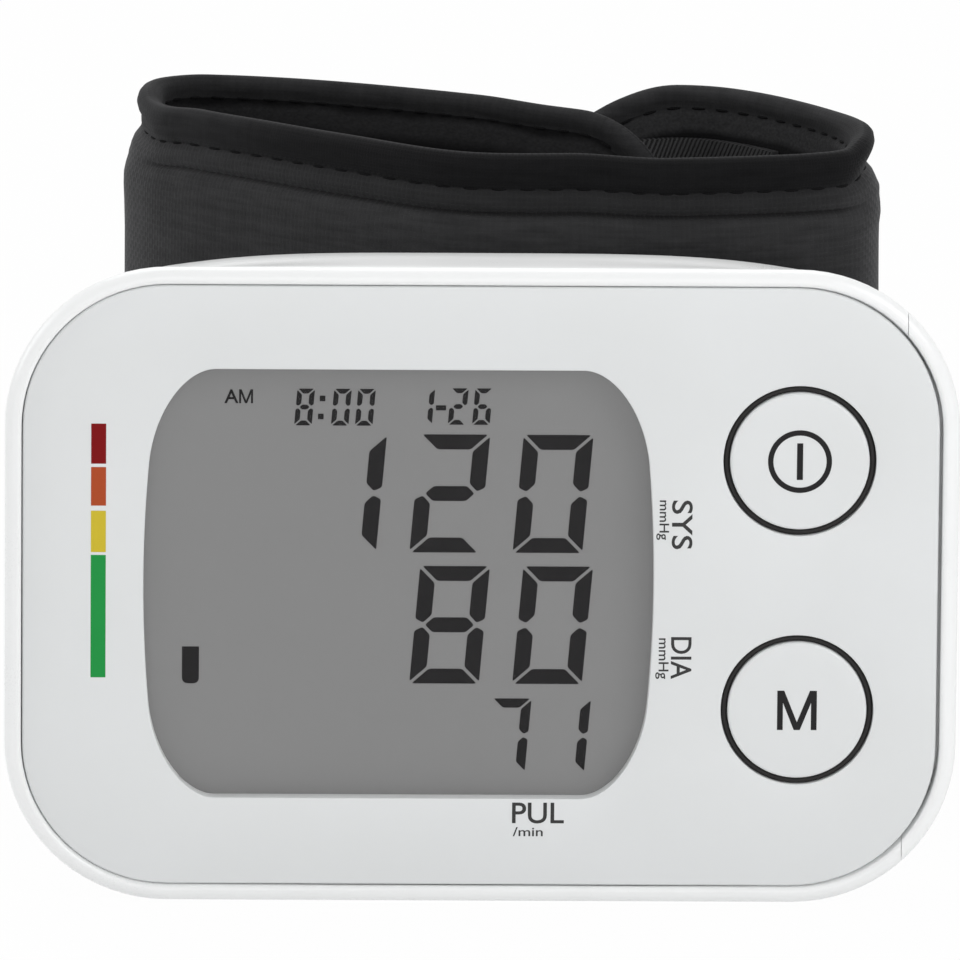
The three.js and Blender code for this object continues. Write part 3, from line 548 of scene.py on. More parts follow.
def slabPiece(name, outlines, front, back, finish, body):
    # flat shapes with straight sides; each outline is a closed loop of (x, z)
    points = []
    faces = []
    for outline in outlines:
        first = len(points)
        points += [(x, depth, z) for depth in (front, back) for x, z in outline]
        faces += solidFaces(2, len(outline), first)
    return makePiece(name, points, faces, finish, body)


# Outlines: lists of (point, outward normal) in the face's plane, so that an offset is a step along the normal
def arcOutline(centre, radius, start, end, steps):
    spots = []
    for step in range(steps + 1):
        angle = start + (end - start) * step / steps
        normal = Vector((math.cos(angle), math.sin(angle)))
        spots.append((Vector(centre) + radius * normal, normal))
    return spots


def straightOutline(first, last, steps):
    # the points between two ends that share a normal
    (start, normal), (end, _) = first, last
    return [(start.lerp(end, step / steps), normal) for step in range(1, steps)]


def roundedOutline(wide, tall, corner, cornerSteps=18, wideSteps=30, tallSteps=16):
    # rounded rectangle about the middle of the case, from its half sizes
    corners = []
    for quarter, (signX, signZ) in enumerate(((1, 1), (-1, 1), (-1, -1), (1, -1))):
        turn = quarter * math.pi / 2
        centre = (signX * (wide - corner), caseMiddle + signZ * (tall - corner))
        corners.append(arcOutline(centre, corner, turn, turn + math.pi / 2, cornerSteps))
    outline = []
    for quarter in range(4):
        outline += corners[quarter]
        steps = wideSteps if quarter % 2 == 0 else tallSteps
        outline += straightOutline(corners[quarter][-1], corners[(quarter + 1) % 4][0], steps)
    return outline


def drawn(outline, inset):
    return [point - normal * inset for point, normal in outline]


# Case: rim, rear housing and end door from one family of rings
caseShape = {
    "corner": 15.0 * mm,
    "rimWidth": 1.55 * mm,
    "rimRound": 1.1 * mm,
    "lipRound": 0.42 * mm,  # inner edge of the rim, beside the face panel
    "ledgeWidth": 2.4 * mm,
    "ledgeFront": 2.1 * mm,
    "ledgeBack": 3.6 * mm,
    "sideDepths": [2.2 * mm, 2.8 * mm, 3.4 * mm, 4.0 * mm, 4.5 * mm],
    "straight": 5.0 * mm,  # depth before the sides draw in
    "shoulder": 6.0 * mm,
    "taper": 0.205,
    "backRound": 2.6 * mm,
    "crownCurve": 7.5 * mm,  # fall of the top towards the ends, behind the rim
    "crownLimit": 2.4 * mm,
    "crownDepths": (0.7 * mm, 4.2 * mm),
    "wristRadius": 120.0 * mm,
    "waist": 20.9 * mm,  # depth in the middle of the hollow back
    "wall": 1.5 * mm,
    "edge": 0.1 * mm,  # eased edges at the seams
    "doorSeam": 0.05 * mm,
    "doorGap": 0.05 * mm,
    "wellRadius": 1.75 * mm,
    "bossRadius": 2.9 * mm,
    "rodSides": 40,
    "tongueHeight": 2.6 * mm,
    "tongueWidth": 5.0 * mm,
    "tongueInset": 13.4 * mm,
    "tongueEnd": 5.0 * mm,  # from the door's outer side
    "screws": 4,
}
caseDepth = rearHigh.y - rimFront
caseOutline = roundedOutline(halfWide, halfTall, caseShape["corner"])


def caseInset(depth):
    # how far the side has drawn in at a depth behind the rim's front
    shape = caseShape
    past = depth - shape["straight"]
    if past <= 0:
        return 0.0
    if past < shape["shoulder"]:
        return shape["taper"] * past * past / (2 * shape["shoulder"])
    return shape["taper"] * (past - shape["shoulder"] / 2)


def backDepth(x):
    # the back is hollowed to lie on a wrist
    shape = caseShape
    sag = shape["wristRadius"] - math.sqrt(shape["wristRadius"] ** 2 - x * x)
    return min(caseDepth, shape["waist"] + sag)


def casePoint(spot, inset, depth):
    flat = spot[0] - spot[1] * inset
    shape = caseShape
    curve = shape["crownCurve"] * (flat.x / halfWide) ** 4
    crown = curve / (1 + (curve / shape["crownLimit"]) ** 4) ** 0.25
    fall = crown * smoothstep(*shape["crownDepths"], depth) * (flat.y - caseMiddle) / halfTall
    return Vector((flat.x, rimFront + depth, flat.y - fall))


def rimSkin():
    # (inset, depth) of the rim's section from the groove over lip and crest and along the outer side
    shape = caseShape
    width, lip, bead = shape["rimWidth"], shape["lipRound"], shape["rimRound"]
    profile = [(width, shape["ledgeFront"])]
    for turn in quarterTurn(5):
        profile.append((width - lip + lip * math.cos(turn), lip - lip * math.sin(turn)))
    for turn in quarterTurn(8):
        profile.append((bead - bead * math.sin(turn), bead - bead * math.cos(turn)))
    return profile + [(caseInset(depth), depth) for depth in shape["sideDepths"]]


def rimProfile():
    # the whole section: skin, seam, inner wall and ledge
    shape = caseShape
    back = rimHigh.y - rimFront
    ledge = shape["rimWidth"] + shape["ledgeWidth"]
    profile = rimSkin()
    profile.append((caseInset(back - shape["edge"]), back - shape["edge"]))
    profile.append((caseInset(back) + shape["edge"], back))
    profile += [(shape["wall"], back), (shape["wall"], shape["ledgeBack"])]
    return profile + [(ledge, shape["ledgeBack"]), (ledge, shape["ledgeFront"])]


def rimMesh():
    profile = rimProfile()
    points = [casePoint(spot, inset, depth) for inset, depth in profile for spot in caseOutline]
    return points, ringFaces(len(profile), len(caseOutline), closed=True)


def housingRings(wallIn):
    # rings of the rear housing's skin, or of the inside of its wall, ending near the middle of the back
    shape = caseShape
    front = rearLow.y - rimFront
    bend = shape["backRound"] - wallIn
    straightSteps, bendSteps, capSteps = 10, 7, 12
    cornerIn = 0.12 * halfWide  # where the back's depth is read, in from the side
    rings = []
    for step in range(straightSteps + bendSteps + 1):
        ring = []
        for spot in caseOutline:
            end = backDepth(drawn([spot], cornerIn)[0].x) - wallIn
            if step < straightSteps:
                depth = front + (end - bend - front) * step / straightSteps
                extra = shape["edge"] if step == 0 and wallIn == 0 else 0
            else:
                angle = (step - straightSteps) / bendSteps * math.pi / 2
                depth = end - bend + bend * math.sin(angle)
                extra = bend - bend * math.cos(angle)
            ring.append(casePoint(spot, caseInset(depth) + extra + wallIn, depth))
        rings.append(ring)
    for step in range(1, capSteps):
        share = 1 - step / capSteps
        ring = []
        for edge in rings[straightSteps + bendSteps]:
            x = edge.x * share
            z = caseMiddle + (edge.z - caseMiddle) * share
            ring.append(Vector((x, rimFront + backDepth(x) - wallIn, z)))
        rings.append(ring)
    return rings


def housingMesh():
    count = len(caseOutline)
    points = []
    faces = []
    starts = []
    for wallIn in (0.0, caseShape["wall"]):
        rings = housingRings(wallIn)
        first = len(points)
        starts.append(first)
        points += [point for ring in rings for point in ring]
        faces += ringFaces(len(rings), count, first=first)
        faces.append(tuple(range(len(points) - count, len(points))))
    faces += bandFaces(*starts, count)
    return points, faces


def filledHousing(wallIn):
    # the housing's space as one solid, drawn in by a share of its wall
    rings = housingRings(wallIn)
    return [point for ring in rings for point in ring], solidFaces(len(rings), len(caseOutline))


def doorMesh():
    # the whole wall without a seam: back, side, rim and lip outside, then ledge and wall inside
    shape = caseShape
    ledge = shape["rimWidth"] + shape["ledgeWidth"]
    inside = [(ledge, shape["ledgeFront"]), (ledge, shape["ledgeBack"]), (shape["wall"], shape["ledgeBack"])]
    rings = housingRings(0.0)[:0:-1]
    for inset, depth in rimSkin()[::-1] + inside:
        rings.append([casePoint(spot, inset, depth) for spot in caseOutline])
    rings += housingRings(shape["wall"])
    return [point for ring in rings for point in ring], solidFaces(len(rings), len(caseOutline))


def cutAt(piece, x, keepRight):
    # keeps one side of an upright plane across the case and closes the cut
    form = bmesh.new()
    form.from_mesh(piece.data)
    everything = form.verts[:] + form.edges[:] + form.faces[:]
    result = bmesh.ops.bisect_plane(
        form, geom=everything, dist=meshCare["cutGap"], plane_co=(x, 0, 0), plane_no=(1, 0, 0),
        clear_inner=keepRight, clear_outer=not keepRight,
    )
    cutEdges = [item for item in result["geom_cut"] if isinstance(item, bmesh.types.BMEdge)]
    bmesh.ops.triangle_fill(form, edges=cutEdges, use_beauty=True)
    form.to_mesh(piece.data)
    form.free()


def boxTool(low, high):
    mesh = bpy.data.meshes.new("tool")
    form = bmesh.new()
    size = [b - a for a, b in zip(low, high)]
    centre = [(a + b) / 2 for a, b in zip(low, high)]
    bmesh.ops.create_cube(form, size=1.0, matrix=Matrix.Translation(centre) @ Matrix.Diagonal((*size, 1)))
    form.to_mesh(mesh)
    form.free()
    return newObject("tool", mesh)


def rodTool(radius, centre, front, back):
    profile = [(radius, front), (radius, back)]
    return lathe("tool", profile, centre, "case_white", None, caseShape["rodSides"])


def joinInto(piece, other):
    # adds another piece's faces to a piece
    form = bmesh.new()
    form.from_mesh(piece.data)
    form.from_mesh(other.data)
    form.to_mesh(piece.data)
    form.free()
    bpy.data.objects.remove(other)


def buildCase():
    shape = caseShape
    doorEdge = rimHigh.x + shape["doorSeam"]
    capEdge = doorEdge + shape["doorGap"]
    rim = makePiece("rim_shell", *rimMesh(), "case_white", None)
    cutAt(rim, doorEdge, keepRight=False)
    housing = makePiece("rear_housing", *housingMesh(), "case_white", None)
    cutAt(housing, doorEdge, keepRight=False)
    for number in range(1, shape["screws"] + 1):
        low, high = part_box(f"case_screw_{number}")
        centre = ((low.x + high.x) / 2, (low.z + high.z) / 2)
        insideWall = rimFront + backDepth(centre[0]) - shape["wall"] / 2
        boss = rodTool(shape["bossRadius"], centre, rearLow.y + shape["edge"], insideWall)
        well = rodTool(shape["wellRadius"], centre, high.y - 2 * shape["wall"], rearHigh.y + mm)
        combine(boss, "INTERSECT", makePiece("tool", *filledHousing(shape["wall"] / 3), "case_white", None))
        combine(housing, "UNION", boss)
        combine(housing, "DIFFERENCE", well)
    door = makePiece("end_door", *doorMesh(), "case_white", None)
    cutAt(door, capEdge, keepRight=True)
    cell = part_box("battery_right")
    middleY = (cell[0].y + cell[1].y) / 2
    reach = halfTall - shape["tongueInset"]
    for low in (caseMiddle + reach - shape["tongueHeight"], caseMiddle - reach):
        corner = (doorLow.x, middleY - shape["tongueWidth"] / 2, low)
        far = (
            doorHigh.x - shape["tongueEnd"], middleY + shape["tongueWidth"] / 2, low + shape["tongueHeight"],
        )
        joinInto(door, boxTool(corner, far))
    for piece, body, node in (
        (rim, "monitor", "front_shell"),
        (housing, "monitor", "rear_shell"),
        (door, "battery_door", "battery_door"),
    ):
        cleanMesh(piece.data)
        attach(piece, body)
        standFor(node)


buildCase()
print("case built")


# Face panel, with its window and button holes
faceShape = {
    "outerEdge": 0.3 * mm,  # eased edges
    "innerEdge": 0.14 * mm,
    "seam": 0.1 * mm,  # gap to the rim
    "endSeam": 0.32 * mm,  # gap to the end door
    "windowMiddle": (-7.655 * mm, 0.17 * mm),  # from the middle of the face
    "windowHalf": (23.54 * mm, 20.21 * mm),
    "windowCorner": (5.05 * mm, 8.97 * mm),
    "windowSide": 132.0 * mm,  # radius of the barrel sides
    "holeRadius": 7.05 * mm,
    "holeSides": 96,
    "buttonRise": 0.24 * mm,
}
buttonCentres = {}
for button in ("power", "memory"):
    low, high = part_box(f"{button}_button")
    buttonCentres[button] = ((low.x + high.x) / 2, (low.z + high.z) / 2 + faceShape["buttonRise"])


def windowOutline():
    middle = Vector(faceShape["windowMiddle"]) + Vector((0, caseMiddle))
    wide, tall = faceShape["windowHalf"]
    cornerX, cornerZ = faceShape["windowCorner"]
    side = faceShape["windowSide"]
    straight = tall - cornerZ
    sideSteps, cornerSteps, topSteps = 12, 24, 8
    turns = [(straight * step / sideSteps, 0) for step in range(sideSteps)]
    for turn in quarterTurn(cornerSteps):
        turns.append((straight + cornerZ * math.sin(turn), cornerX * (1 - math.cos(turn))))
    quarter = [Vector((wide - side + math.sqrt(side ** 2 - z ** 2) - cut, z)) for z, cut in turns]
    quarter += [Vector((quarter[-1].x * (1 - step / topSteps), tall)) for step in range(1, topSteps + 1)]
    loop = quarter + [Vector((-spot.x, spot.y)) for spot in reversed(quarter[:-1])]
    loop += [-spot for spot in loop[1:-1]]
    outline = []
    for i, spot in enumerate(loop):
        run = loop[(i + 1) % len(loop)] - loop[i - 1]
        outline.append((middle + spot, Vector((run.y, -run.x)).normalized()))
    return outline


def buildFacePanel():
    outer, inner = faceShape["outerEdge"], faceShape["innerEdge"]
    seam, endSeam = faceShape["seam"], faceShape["endSeam"]
    wide = halfWide - caseShape["rimWidth"] - (seam + endSeam) / 2
    tall = halfTall - caseShape["rimWidth"] - seam
    thickness = plateHigh.y - plateLow.y
    shift = Vector(((seam - endSeam) / 2, 0))
    outline = roundedOutline(wide, tall, caseShape["corner"] - caseShape["rimWidth"] - seam)
    borders = [([(point + shift, normal) for point, normal in outline], outer, 1)]
    borders.append((windowOutline(), inner, -1))
    for centre in buttonCentres.values():
        hole = arcOutline(centre, faceShape["holeRadius"], 0, 2 * math.pi, faceShape["holeSides"])
        borders.append((hole[:-1], inner, -1))
    mesh = bpy.data.meshes.new("fascia")
    form = bmesh.new()
    for outline, edge, side in borders:
        section = [(edge * (1 - math.sin(turn)), edge * (1 - math.cos(turn))) for turn in quarterTurn(3)]
        section.append((0, thickness))
        rings = []
        for inset, depth in section:
            flat = drawn(outline, side * inset)
            rings.append([form.verts.new((x, plateFront + depth, z)) for x, z in flat])
        for ring, after in zip(rings, rings[1:]):
            for i in range(len(ring)):
                j = (i + 1) % len(ring)
                form.faces.new((ring[i], ring[j], after[j], after[i]))
    middle = plateFront + thickness / 2
    for nearFront in (True, False):
        loose = [edge for edge in form.edges if edge.is_boundary]
        rim = [edge for edge in loose if all((vertex.co.y < middle) == nearFront for vertex in edge.verts)]
        bmesh.ops.triangle_fill(form, edges=rim, use_beauty=True)
    form.to_mesh(mesh)
    form.free()
    panel = newObject("fascia", mesh)
    cleanMesh(mesh, meshCare["flatAngle"])
    mesh.materials.append(finishes["silver_panel"])
    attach(panel, "monitor")
    standFor("face_plate")


buildFacePanel()
print("face panel built")

# Buttons, their seals and the marks on them
buttonShape = {
    "sides": 96,
    "edge": 0.3 * mm,
    "faceRings": (0.08, 0.4, 0.75),  # shares of the cap's radius
    "flange": 0.9 * mm,
    "flangeGap": 0.2 * mm,
    "flangeThickness": 0.7 * mm,
    "stemRadius": 1.5 * mm,
    "sealOuter": 6.98 * mm,
    "sealInner": 6.5 * mm,
    "markLift": 0.02 * mm,
    "markDepth": 0.05 * mm,
    "powerRing": (2.45 * mm, 2.95 * mm),
    "powerBar": (0.28 * mm, 1.72 * mm),  # half width, half height
    "letterM": [
        (-1.83, -1.86), (-1.83, 1.86), (-1.19, 1.86), (0, -1.12), (1.19, 1.86), (1.83, 1.86), (1.83, -1.86),
        (1.3, -1.86), (1.3, 0.72), (0.28, -1.86), (-0.28, -1.86), (-1.3, 0.72), (-1.3, -1.86),
    ],
}


def buildButton(name):
    shape = buttonShape
    low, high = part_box(f"{name}_button")
    sealLow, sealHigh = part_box(f"{name}_button_seal")
    centre = buttonCentres[name]
    radius = (high.x - low.x) / 2 - shape["flange"]
    edge = shape["edge"]
    front = low.y
    profile = [(radius * share, front) for share in shape["faceRings"]]
    for turn in quarterTurn(5):
        profile.append((radius - edge + edge * math.sin(turn), front + edge - edge * math.cos(turn)))
    flangeFront = sealHigh.y + shape["flangeGap"]
    flangeBack = flangeFront + shape["flangeThickness"]
    flangeRadius, stemRadius = radius + shape["flange"], shape["stemRadius"]
    profile += [(radius, flangeFront), (flangeRadius, flangeFront), (flangeRadius, flangeBack)]
    profile += [(stemRadius, flangeBack), (stemRadius, high.y)]
    cap = lathe(f"{name}_cap", profile, centre, "silver_panel", f"{name}_button", shape["sides"])
    standFor(f"{name}_button")
    outer, inner = shape["sealOuter"], shape["sealInner"]
    middle, bead = (outer + inner) / 2, (outer - inner) / 2
    beadSteps = 6
    section = []
    for step in range(beadSteps + 1):
        angle = math.pi * (1 - step / beadSteps)
        section.append((middle + bead * math.cos(angle), sealLow.y + bead - bead * math.sin(angle)))
    flangeRim = (sealHigh.x - sealLow.x) / 2
    flangeTop = plateHigh.y + shape["flangeGap"]
    section += [(outer, flangeTop), (flangeRim, flangeTop), (flangeRim, sealHigh.y), (inner, sealHigh.y)]
    seal = lathe(f"{name}_seal", section, centre, "seal_rubber", "monitor", shape["sides"], closed=True)
    standFor(f"{name}_button_seal")
    return centre, front - shape["markLift"], front + shape["markDepth"]


letterCare = {
    "curveSteps": 5,
    "extrude": 0.05,  # any depth, since the letters are made to fill their box
}


def textPiece(name, words, box, turned, bold, front, back, finish, body):
    # lettering made to fill a box (x0, x1, z0, z1); turned lettering reads downwards
    curve = bpy.data.curves.new(name, "FONT")
    curve.body = words
    curve.offset = bold
    curve.resolution_u = letterCare["curveSteps"]
    curve.extrude = letterCare["extrude"]
    writing = newObject(name, curve)
    mesh = realMesh(writing)
    bpy.data.objects.remove(writing)
    spots = [(v.co.y, -v.co.x, v.co.z) if turned else tuple(v.co) for v in mesh.vertices]
    lows = [min(spot[axis] for spot in spots) for axis in range(3)]
    highs = [max(spot[axis] for spot in spots) for axis in range(3)]
    x0, x1, z0, z1 = box
    for vertex, spot in zip(mesh.vertices, spots):
        share = [(spot[axis] - lows[axis]) / (highs[axis] - lows[axis]) for axis in range(3)]
        vertex.co = (x0 + (x1 - x0) * share[0], back + (front - back) * share[2], z0 + (z1 - z0) * share[1])
    piece = newObject(name, mesh)
    mesh.materials.clear()
    mesh.materials.append(finishes[finish])
    cleanMesh(mesh, meshCare["flatAngle"])
    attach(piece, body)


def buildButtons():
    shape = buttonShape
    (x, z), face, root = buildButton("power")
    section = rectangle(*shape["powerRing"], face, root)
    lathe("power_mark_ring", section, (x, z), "ink_black", "power_button", shape["sides"], closed=True)
    halfBar, halfLong = shape["powerBar"]
    bar = rectangle(x - halfBar, x + halfBar, z - halfLong, z + halfLong)
    slabPiece("power_mark_bar", [bar], face, root, "ink_black", "power_button")
    (x, z), face, root = buildButton("memory")
    letter = [(x + a * mm, z + b * mm) for a, b in shape["letterM"]]
    slabPiece("memory_mark", [letter], face, root, "ink_black", "memory_button")


buildButtons()
print("buttons built")

# Printing on the panel, placed in millimetres from the middle of the face
printing = {
    "lift": 0.015 * mm,
    "root": 0.04 * mm,
    "levelX": -35.35,
    "levelHalf": 0.69,
    "levels": {
        "ink_red": (11.46, 15.23),
        "ink_orange": (7.51, 11.14),
        "ink_yellow": (3.13, 7.03),
        "ink_green": (-8.7, 2.86),
    },
    "labels": {
        "label_upper": ("SYS", (17.5, 19.42, 3.65, 8.25), True, 0.009),
        "label_upper_unit": ("mmHg", (16.08, 17.25, 4.52, 8.25), True, 0.008),
        "label_lower": ("DIA", (17.55, 19.45, -8.62, -4.65), True, 0.009),
        "label_lower_unit": ("mmHg", (16.12, 17.34, -8.62, -4.77), True, 0.008),
        "label_pulse": ("PUL", (3.0, 7.8, -22.38, -20.4), False, 0.009),
        "label_pulse_unit": ("/min", (3.08, 5.86, -23.6, -22.73), False, 0.008),
    },
}


def buildPrinting():
    front, back = plateFront - printing["lift"], plateFront + printing["root"]
    x, half = printing["levelX"], printing["levelHalf"]
    for ink, (low, high) in printing["levels"].items():
        outline = [(a * mm, caseMiddle + b * mm) for a, b in rectangle(x - half, x + half, low, high)]
        slabPiece(ink.replace("ink", "level"), [outline], front, back, ink, "monitor")
    for name, (words, (x0, x1, z0, z1), turned, bold) in printing["labels"].items():
        box = (x0 * mm, x1 * mm, caseMiddle + z0 * mm, caseMiddle + z1 * mm)
        textPiece(name, words, box, turned, bold, front, back, "ink_grey", "monitor")


buildPrinting()
print("panel printed")

# Figures on the display, placed in millimetres: x from the middle of the face, z from the case's foot
displayShape = {
    "lift": 0.06 * mm,
    "root": 0.01 * mm,
    "slant": 0.085,
    "large": {"wide": 6.44, "thick": 1.48, "bar": 1.4, "gap": 0.3, "soft": 0.2},
    "medium": {"wide": 3.65, "thick": 0.9, "bar": 0.86, "gap": 0.22, "soft": 0.16},
    "small": {"wide": 1.62, "thick": 0.47, "bar": 0.45, "gap": 0.16, "soft": 0.1},
    "rows": {
        # figures, size, x, z, pitch and height
        "upper_value": ("120", "large", -16.17, 32.55, 9.53, 11.13),
        "lower_value": ("80", "large", -6.57, 20.14, 9.53, 11.12),
        "pulse_value": ("71", "medium", 0.53, 11.74, 5.5, 7.0),
        "clock_hours": ("8", "small", -17.36, 44.48, 2.2, 3.45),
        "clock_minutes": ("00", "small", -13.97, 44.48, 2.22, 3.45),
        "date_month": ("1", "small", -6.28, 44.61, 2.2, 3.42),
        "date_day": ("26", "small", -3.19, 44.61, 2.24, 3.42),
    },
    "dash": (-4.3, -3.35, 45.95, 46.42),
    "colon": ((-14.9, 45.32), (-14.75, 47.02)),
    "colonHalf": 0.26,
    "morningA": (-23.8, -22.5, 46.54, 47.84),
    "morningBold": 0.014,
    "morningM": (-21.8, 47.19, 0.35),  # middle, and size beside the button's M
    "levelMark": (-27.6, -26.03, 20.05, 23.54),
}
segmentsOf = {"0": "abcdef", "1": "bc", "2": "abged", "6": "acdefg", "7": "abc", "8": "abcdefg"}


def segmentShapes(tall, wide, thick, bar, gap, soft):
    # seven mitred bars, with thin gaps between them, in a cell whose corner is at the origin
    half = tall / 2
    cut = gap * 0.7
    top = [(cut, tall), (wide - cut, tall), (wide - thick - cut, tall - bar), (thick + cut, tall - bar)]
    upper = [
        (0, tall - cut), (thick, tall - bar - cut), (thick, half + thick / 2 + cut),
        (thick / 2, half + cut), (0, half + thick / 4 + cut),
    ]
    shapes = {"a": top, "f": upper}
    shapes["d"] = [(x, tall - z) for x, z in top]
    shapes["e"] = [(x, tall - z) for x, z in upper]
    shapes["b"] = [(wide - x, z) for x, z in upper]
    shapes["c"] = [(wide - x, tall - z) for x, z in upper]
    tip = thick / 2 + cut
    shapes["g"] = [
        (tip, half), (thick + cut, half + bar / 2), (wide - thick - cut, half + bar / 2),
        (wide - tip, half), (wide - thick - cut, half - bar / 2), (thick + cut, half - bar / 2),
    ]
    return {key: softened(shape, soft) for key, shape in shapes.items()}


def softened(outline, soft):
    # the same outline with its corners eased
    spots = [Vector(spot) for spot in outline]
    eased = []
    for i, spot in enumerate(spots):
        ends = []
        for other in (spots[i - 1], spots[(i + 1) % len(spots)]):
            reach = min(soft, 0.4 * (other - spot).length)
            ends.append(spot + (other - spot).normalized() * reach)
        eased += [ends[0], (ends[0] + 2 * spot + ends[1]) / 4, ends[1]]
    return [tuple(spot) for spot in eased]


def buildDisplay():
    shape = displayShape
    front, back = glassFront - shape["lift"], glassFront + shape["root"]

    def mark(name, outlines):
        sized = [[(x * mm, z * mm) for x, z in outline] for outline in outlines]
        slabPiece(name, sized, front, back, "ink_black", "monitor")

    for name, (figures, size, left, foot, pitch, tall) in shape["rows"].items():
        cells = segmentShapes(tall, **shape[size])
        outlines = []
        for place, figure in enumerate(figures):
            start = left + place * pitch
            for bar in segmentsOf[figure]:
                outlines.append([(start + x + shape["slant"] * z, foot + z) for x, z in cells[bar]])
        mark(name, outlines)
    mark("date_dash", [rectangle(*shape["dash"])])
    half = shape["colonHalf"]
    mark("clock_colon", [rectangle(x - half, x + half, z - half, z + half) for x, z in shape["colon"]])
    box = [v * mm for v in shape["morningA"]]
    textPiece("clock_half_a", "A", box, False, shape["morningBold"], front, back, "ink_black", "monitor")
    x, z, size = shape["morningM"]
    mark("clock_half_m", [[(x + a * size, z + b * size) for a, b in buttonShape["letterM"]]])
    x0, x1, z0, z1 = shape["levelMark"]
    foot = (x1 - x0) / 3
    footSteps = 6
    left = arcOutline((x0 + foot, z0 + foot), foot, math.pi, 1.5 * math.pi, footSteps)
    right = arcOutline((x1 - foot, z0 + foot), foot, 1.5 * math.pi, 2 * math.pi, footSteps)
    mark("level_mark", [[(x0, z1)] + [tuple(spot) for spot, _ in left + right] + [(x1, z1)]])


buildDisplay()
print("display figures set")

# Cuff finishes; the cloth attribute holds distance along the panel, height and distance from the edge
clothLook = {
    "yarn": 0.46 * mm,
    "fineYarn": 0.3 * mm,
    "slub": 1.6 * mm,
    "slubAlong": (0.35, 2.4, 0.0),  # slubs drawn out along the panel, then up it
    "slubUp": (2.6, 0.3, 0.0),
    "patch": 14 * mm,
    "nap": 0.35 * mm,
    "napPatch": 5 * mm,
    "twist": 0.22 * mm,
    "twistSlant": 0.8,
    "sheenTint": tone(150, 150, 152),
    "weave": (tone(26, 26, 27), tone(46, 46, 47)),
    "binding": (tone(10, 10, 11), tone(21, 21, 22)),
    "hem": (tone(25, 25, 26), tone(44, 44, 45)),
    # painted light: the same hem tape as the wing's, given lighter tones on the flap where it sits in more
    # light
    "flapHemLit": (tone(30, 30, 31), tone(49, 49, 50)),
    "lining": (tone(6, 6, 7), tone(16, 16, 17)),
    # painted light on the lining below the hem, where its bulge catches the light: its tone, and how strongly
    # it shows at shares of litBandReach from the hem
    "wingLitBand": (tone(41, 41, 42), [(0.3, 0.0), (0.38, 1.0), (0.52, 0.8), (0.64, 0.0)]),
    "flapLitBand": (tone(52, 52, 53), [(0.22, 0.0), (0.27, 1.0), (0.48, 1.0), (0.56, 0.0)]),
    "litBandReach": 8 * mm,
    "litBandStray": 1.2 * mm,
    "thread": (tone(5, 5, 6), tone(16, 16, 17)),
    "hook": (tone(8, 8, 9), tone(56, 56, 57)),
    "loop": (tone(16, 16, 17), tone(40, 40, 41)),
    "hookPitch": 0.55 * mm,
    "hookSlant": 0.55,
    "seam": 5.5 * mm,  # the second sewn line, measured from the hem
    "seamWidth": 0.4 * mm,
    # the seam line's tone: partly the seam's own dark joint, partly painted shade in its groove
    "seamShadeTone": tone(14, 14, 15),
    "bandShade": 0.55,  # how much painted shade darkens the cloth between its hem and that line
    "wingFade": (34 * mm, 52 * mm),  # where both painted shades fade out along each panel
    "flapFade": (11 * mm, 19 * mm),
    "bindingLitReach": (38 * mm, 84 * mm),  # where the wing's binding is painted lighter, as the side lamp lights it over its fold
    "litShare": [(0.0, 0.0), (0.43, 1.0), (0.57, 1.0), (1.0, 0.0)],  # how much painted light, at shares of that stretch
}


def clothAxes(finish):
    spot = finish.node("Attribute", {"attribute_name": "cloth"}, out="Vector")
    return spot, [finish.axis(name, spot) for name in ("X", "Y", "Z")]


def sheenValues(weight, roughness):
    return {"Sheen Weight": weight, "Sheen Roughness": roughness, "Sheen Tint": clothLook["sheenTint"]}


def wovenFinish(name, yarn, colours, depth, sheen, gloss, fade, litReach):
    # plain weave: yarns that pass over and under each other, with slubs and faded patches; the yarn crowns
    # are painted a little lighter than the hollows between them, and the code can add painted light on the
    # binding and painted shade along a sewn line
    finish = Finish(name)
    spot, (along, up, edge) = clothAxes(finish)
    turn = math.pi / yarn
    warp = abs((along * turn).sine())
    weft = abs((up * turn).sine())
    checker = ((along / yarn).floor() + (up / yarn).floor()) * 0.5
    over = checker.wrap() > 0.25
    height = warp * over + weft * (1 - over)
    slubAcross = finish.noise(clothLook["slub"], 2.0, spot, clothLook["slubAlong"])
    slubUp = finish.noise(clothLook["slub"], 2.0, spot, clothLook["slubUp"])
    faded = finish.noise(clothLook["patch"], 3.0, spot)
    # painted shade: the weave's height adds a little to the tone, so the hollows between yarns are darker
    share = height * 0.1 + slubAcross * 0.75 + slubUp * 0.35 + faded * 0.3
    share = finish.ramp(share, (0.44, 0.0), (0.99, 1.0))
    colour = finish.mix(share, *colours)
    # painted light: over the wing's fold the binding is mixed towards the body's lighter tone, where the side
    # lamp lights it
    if litReach:
        start, end = litReach
        litShare = finish.ramp((along - start) / (end - start), *clothLook["litShare"])
        colour = finish.mix(litShare, colour, finish.mix(share, *clothLook["weave"]))
    # painted shade: the second sewn line's groove and the band between it and the hem are darkened, fading
    # out towards the fold
    if fade:
        start, end = fade
        fromLine = abs(edge - clothLook["seam"]) / clothLook["seamWidth"]
        line = finish.ramp(fromLine, (0.25, 1.0), (1.0, 0.0))
        shade = line.most((edge < clothLook["seam"]) * clothLook["bandShade"])
        shown = finish.ramp((along - start) / (end - start), (0.0, 1.0), (1.0, 0.0))
        colour = finish.mix(shade * shown, colour, clothLook["seamShadeTone"])
    return finish.shade({
        "Base Color": colour,
        "Roughness": 0.82 + (height - 0.5) * 0.16,
        "Normal": finish.bump(height * 0.7 + slubAcross * 0.9 + slubUp * 0.4, depth, 0.75),
        "Specular IOR Level": gloss,
        **sheenValues(sheen, 0.45),
    })


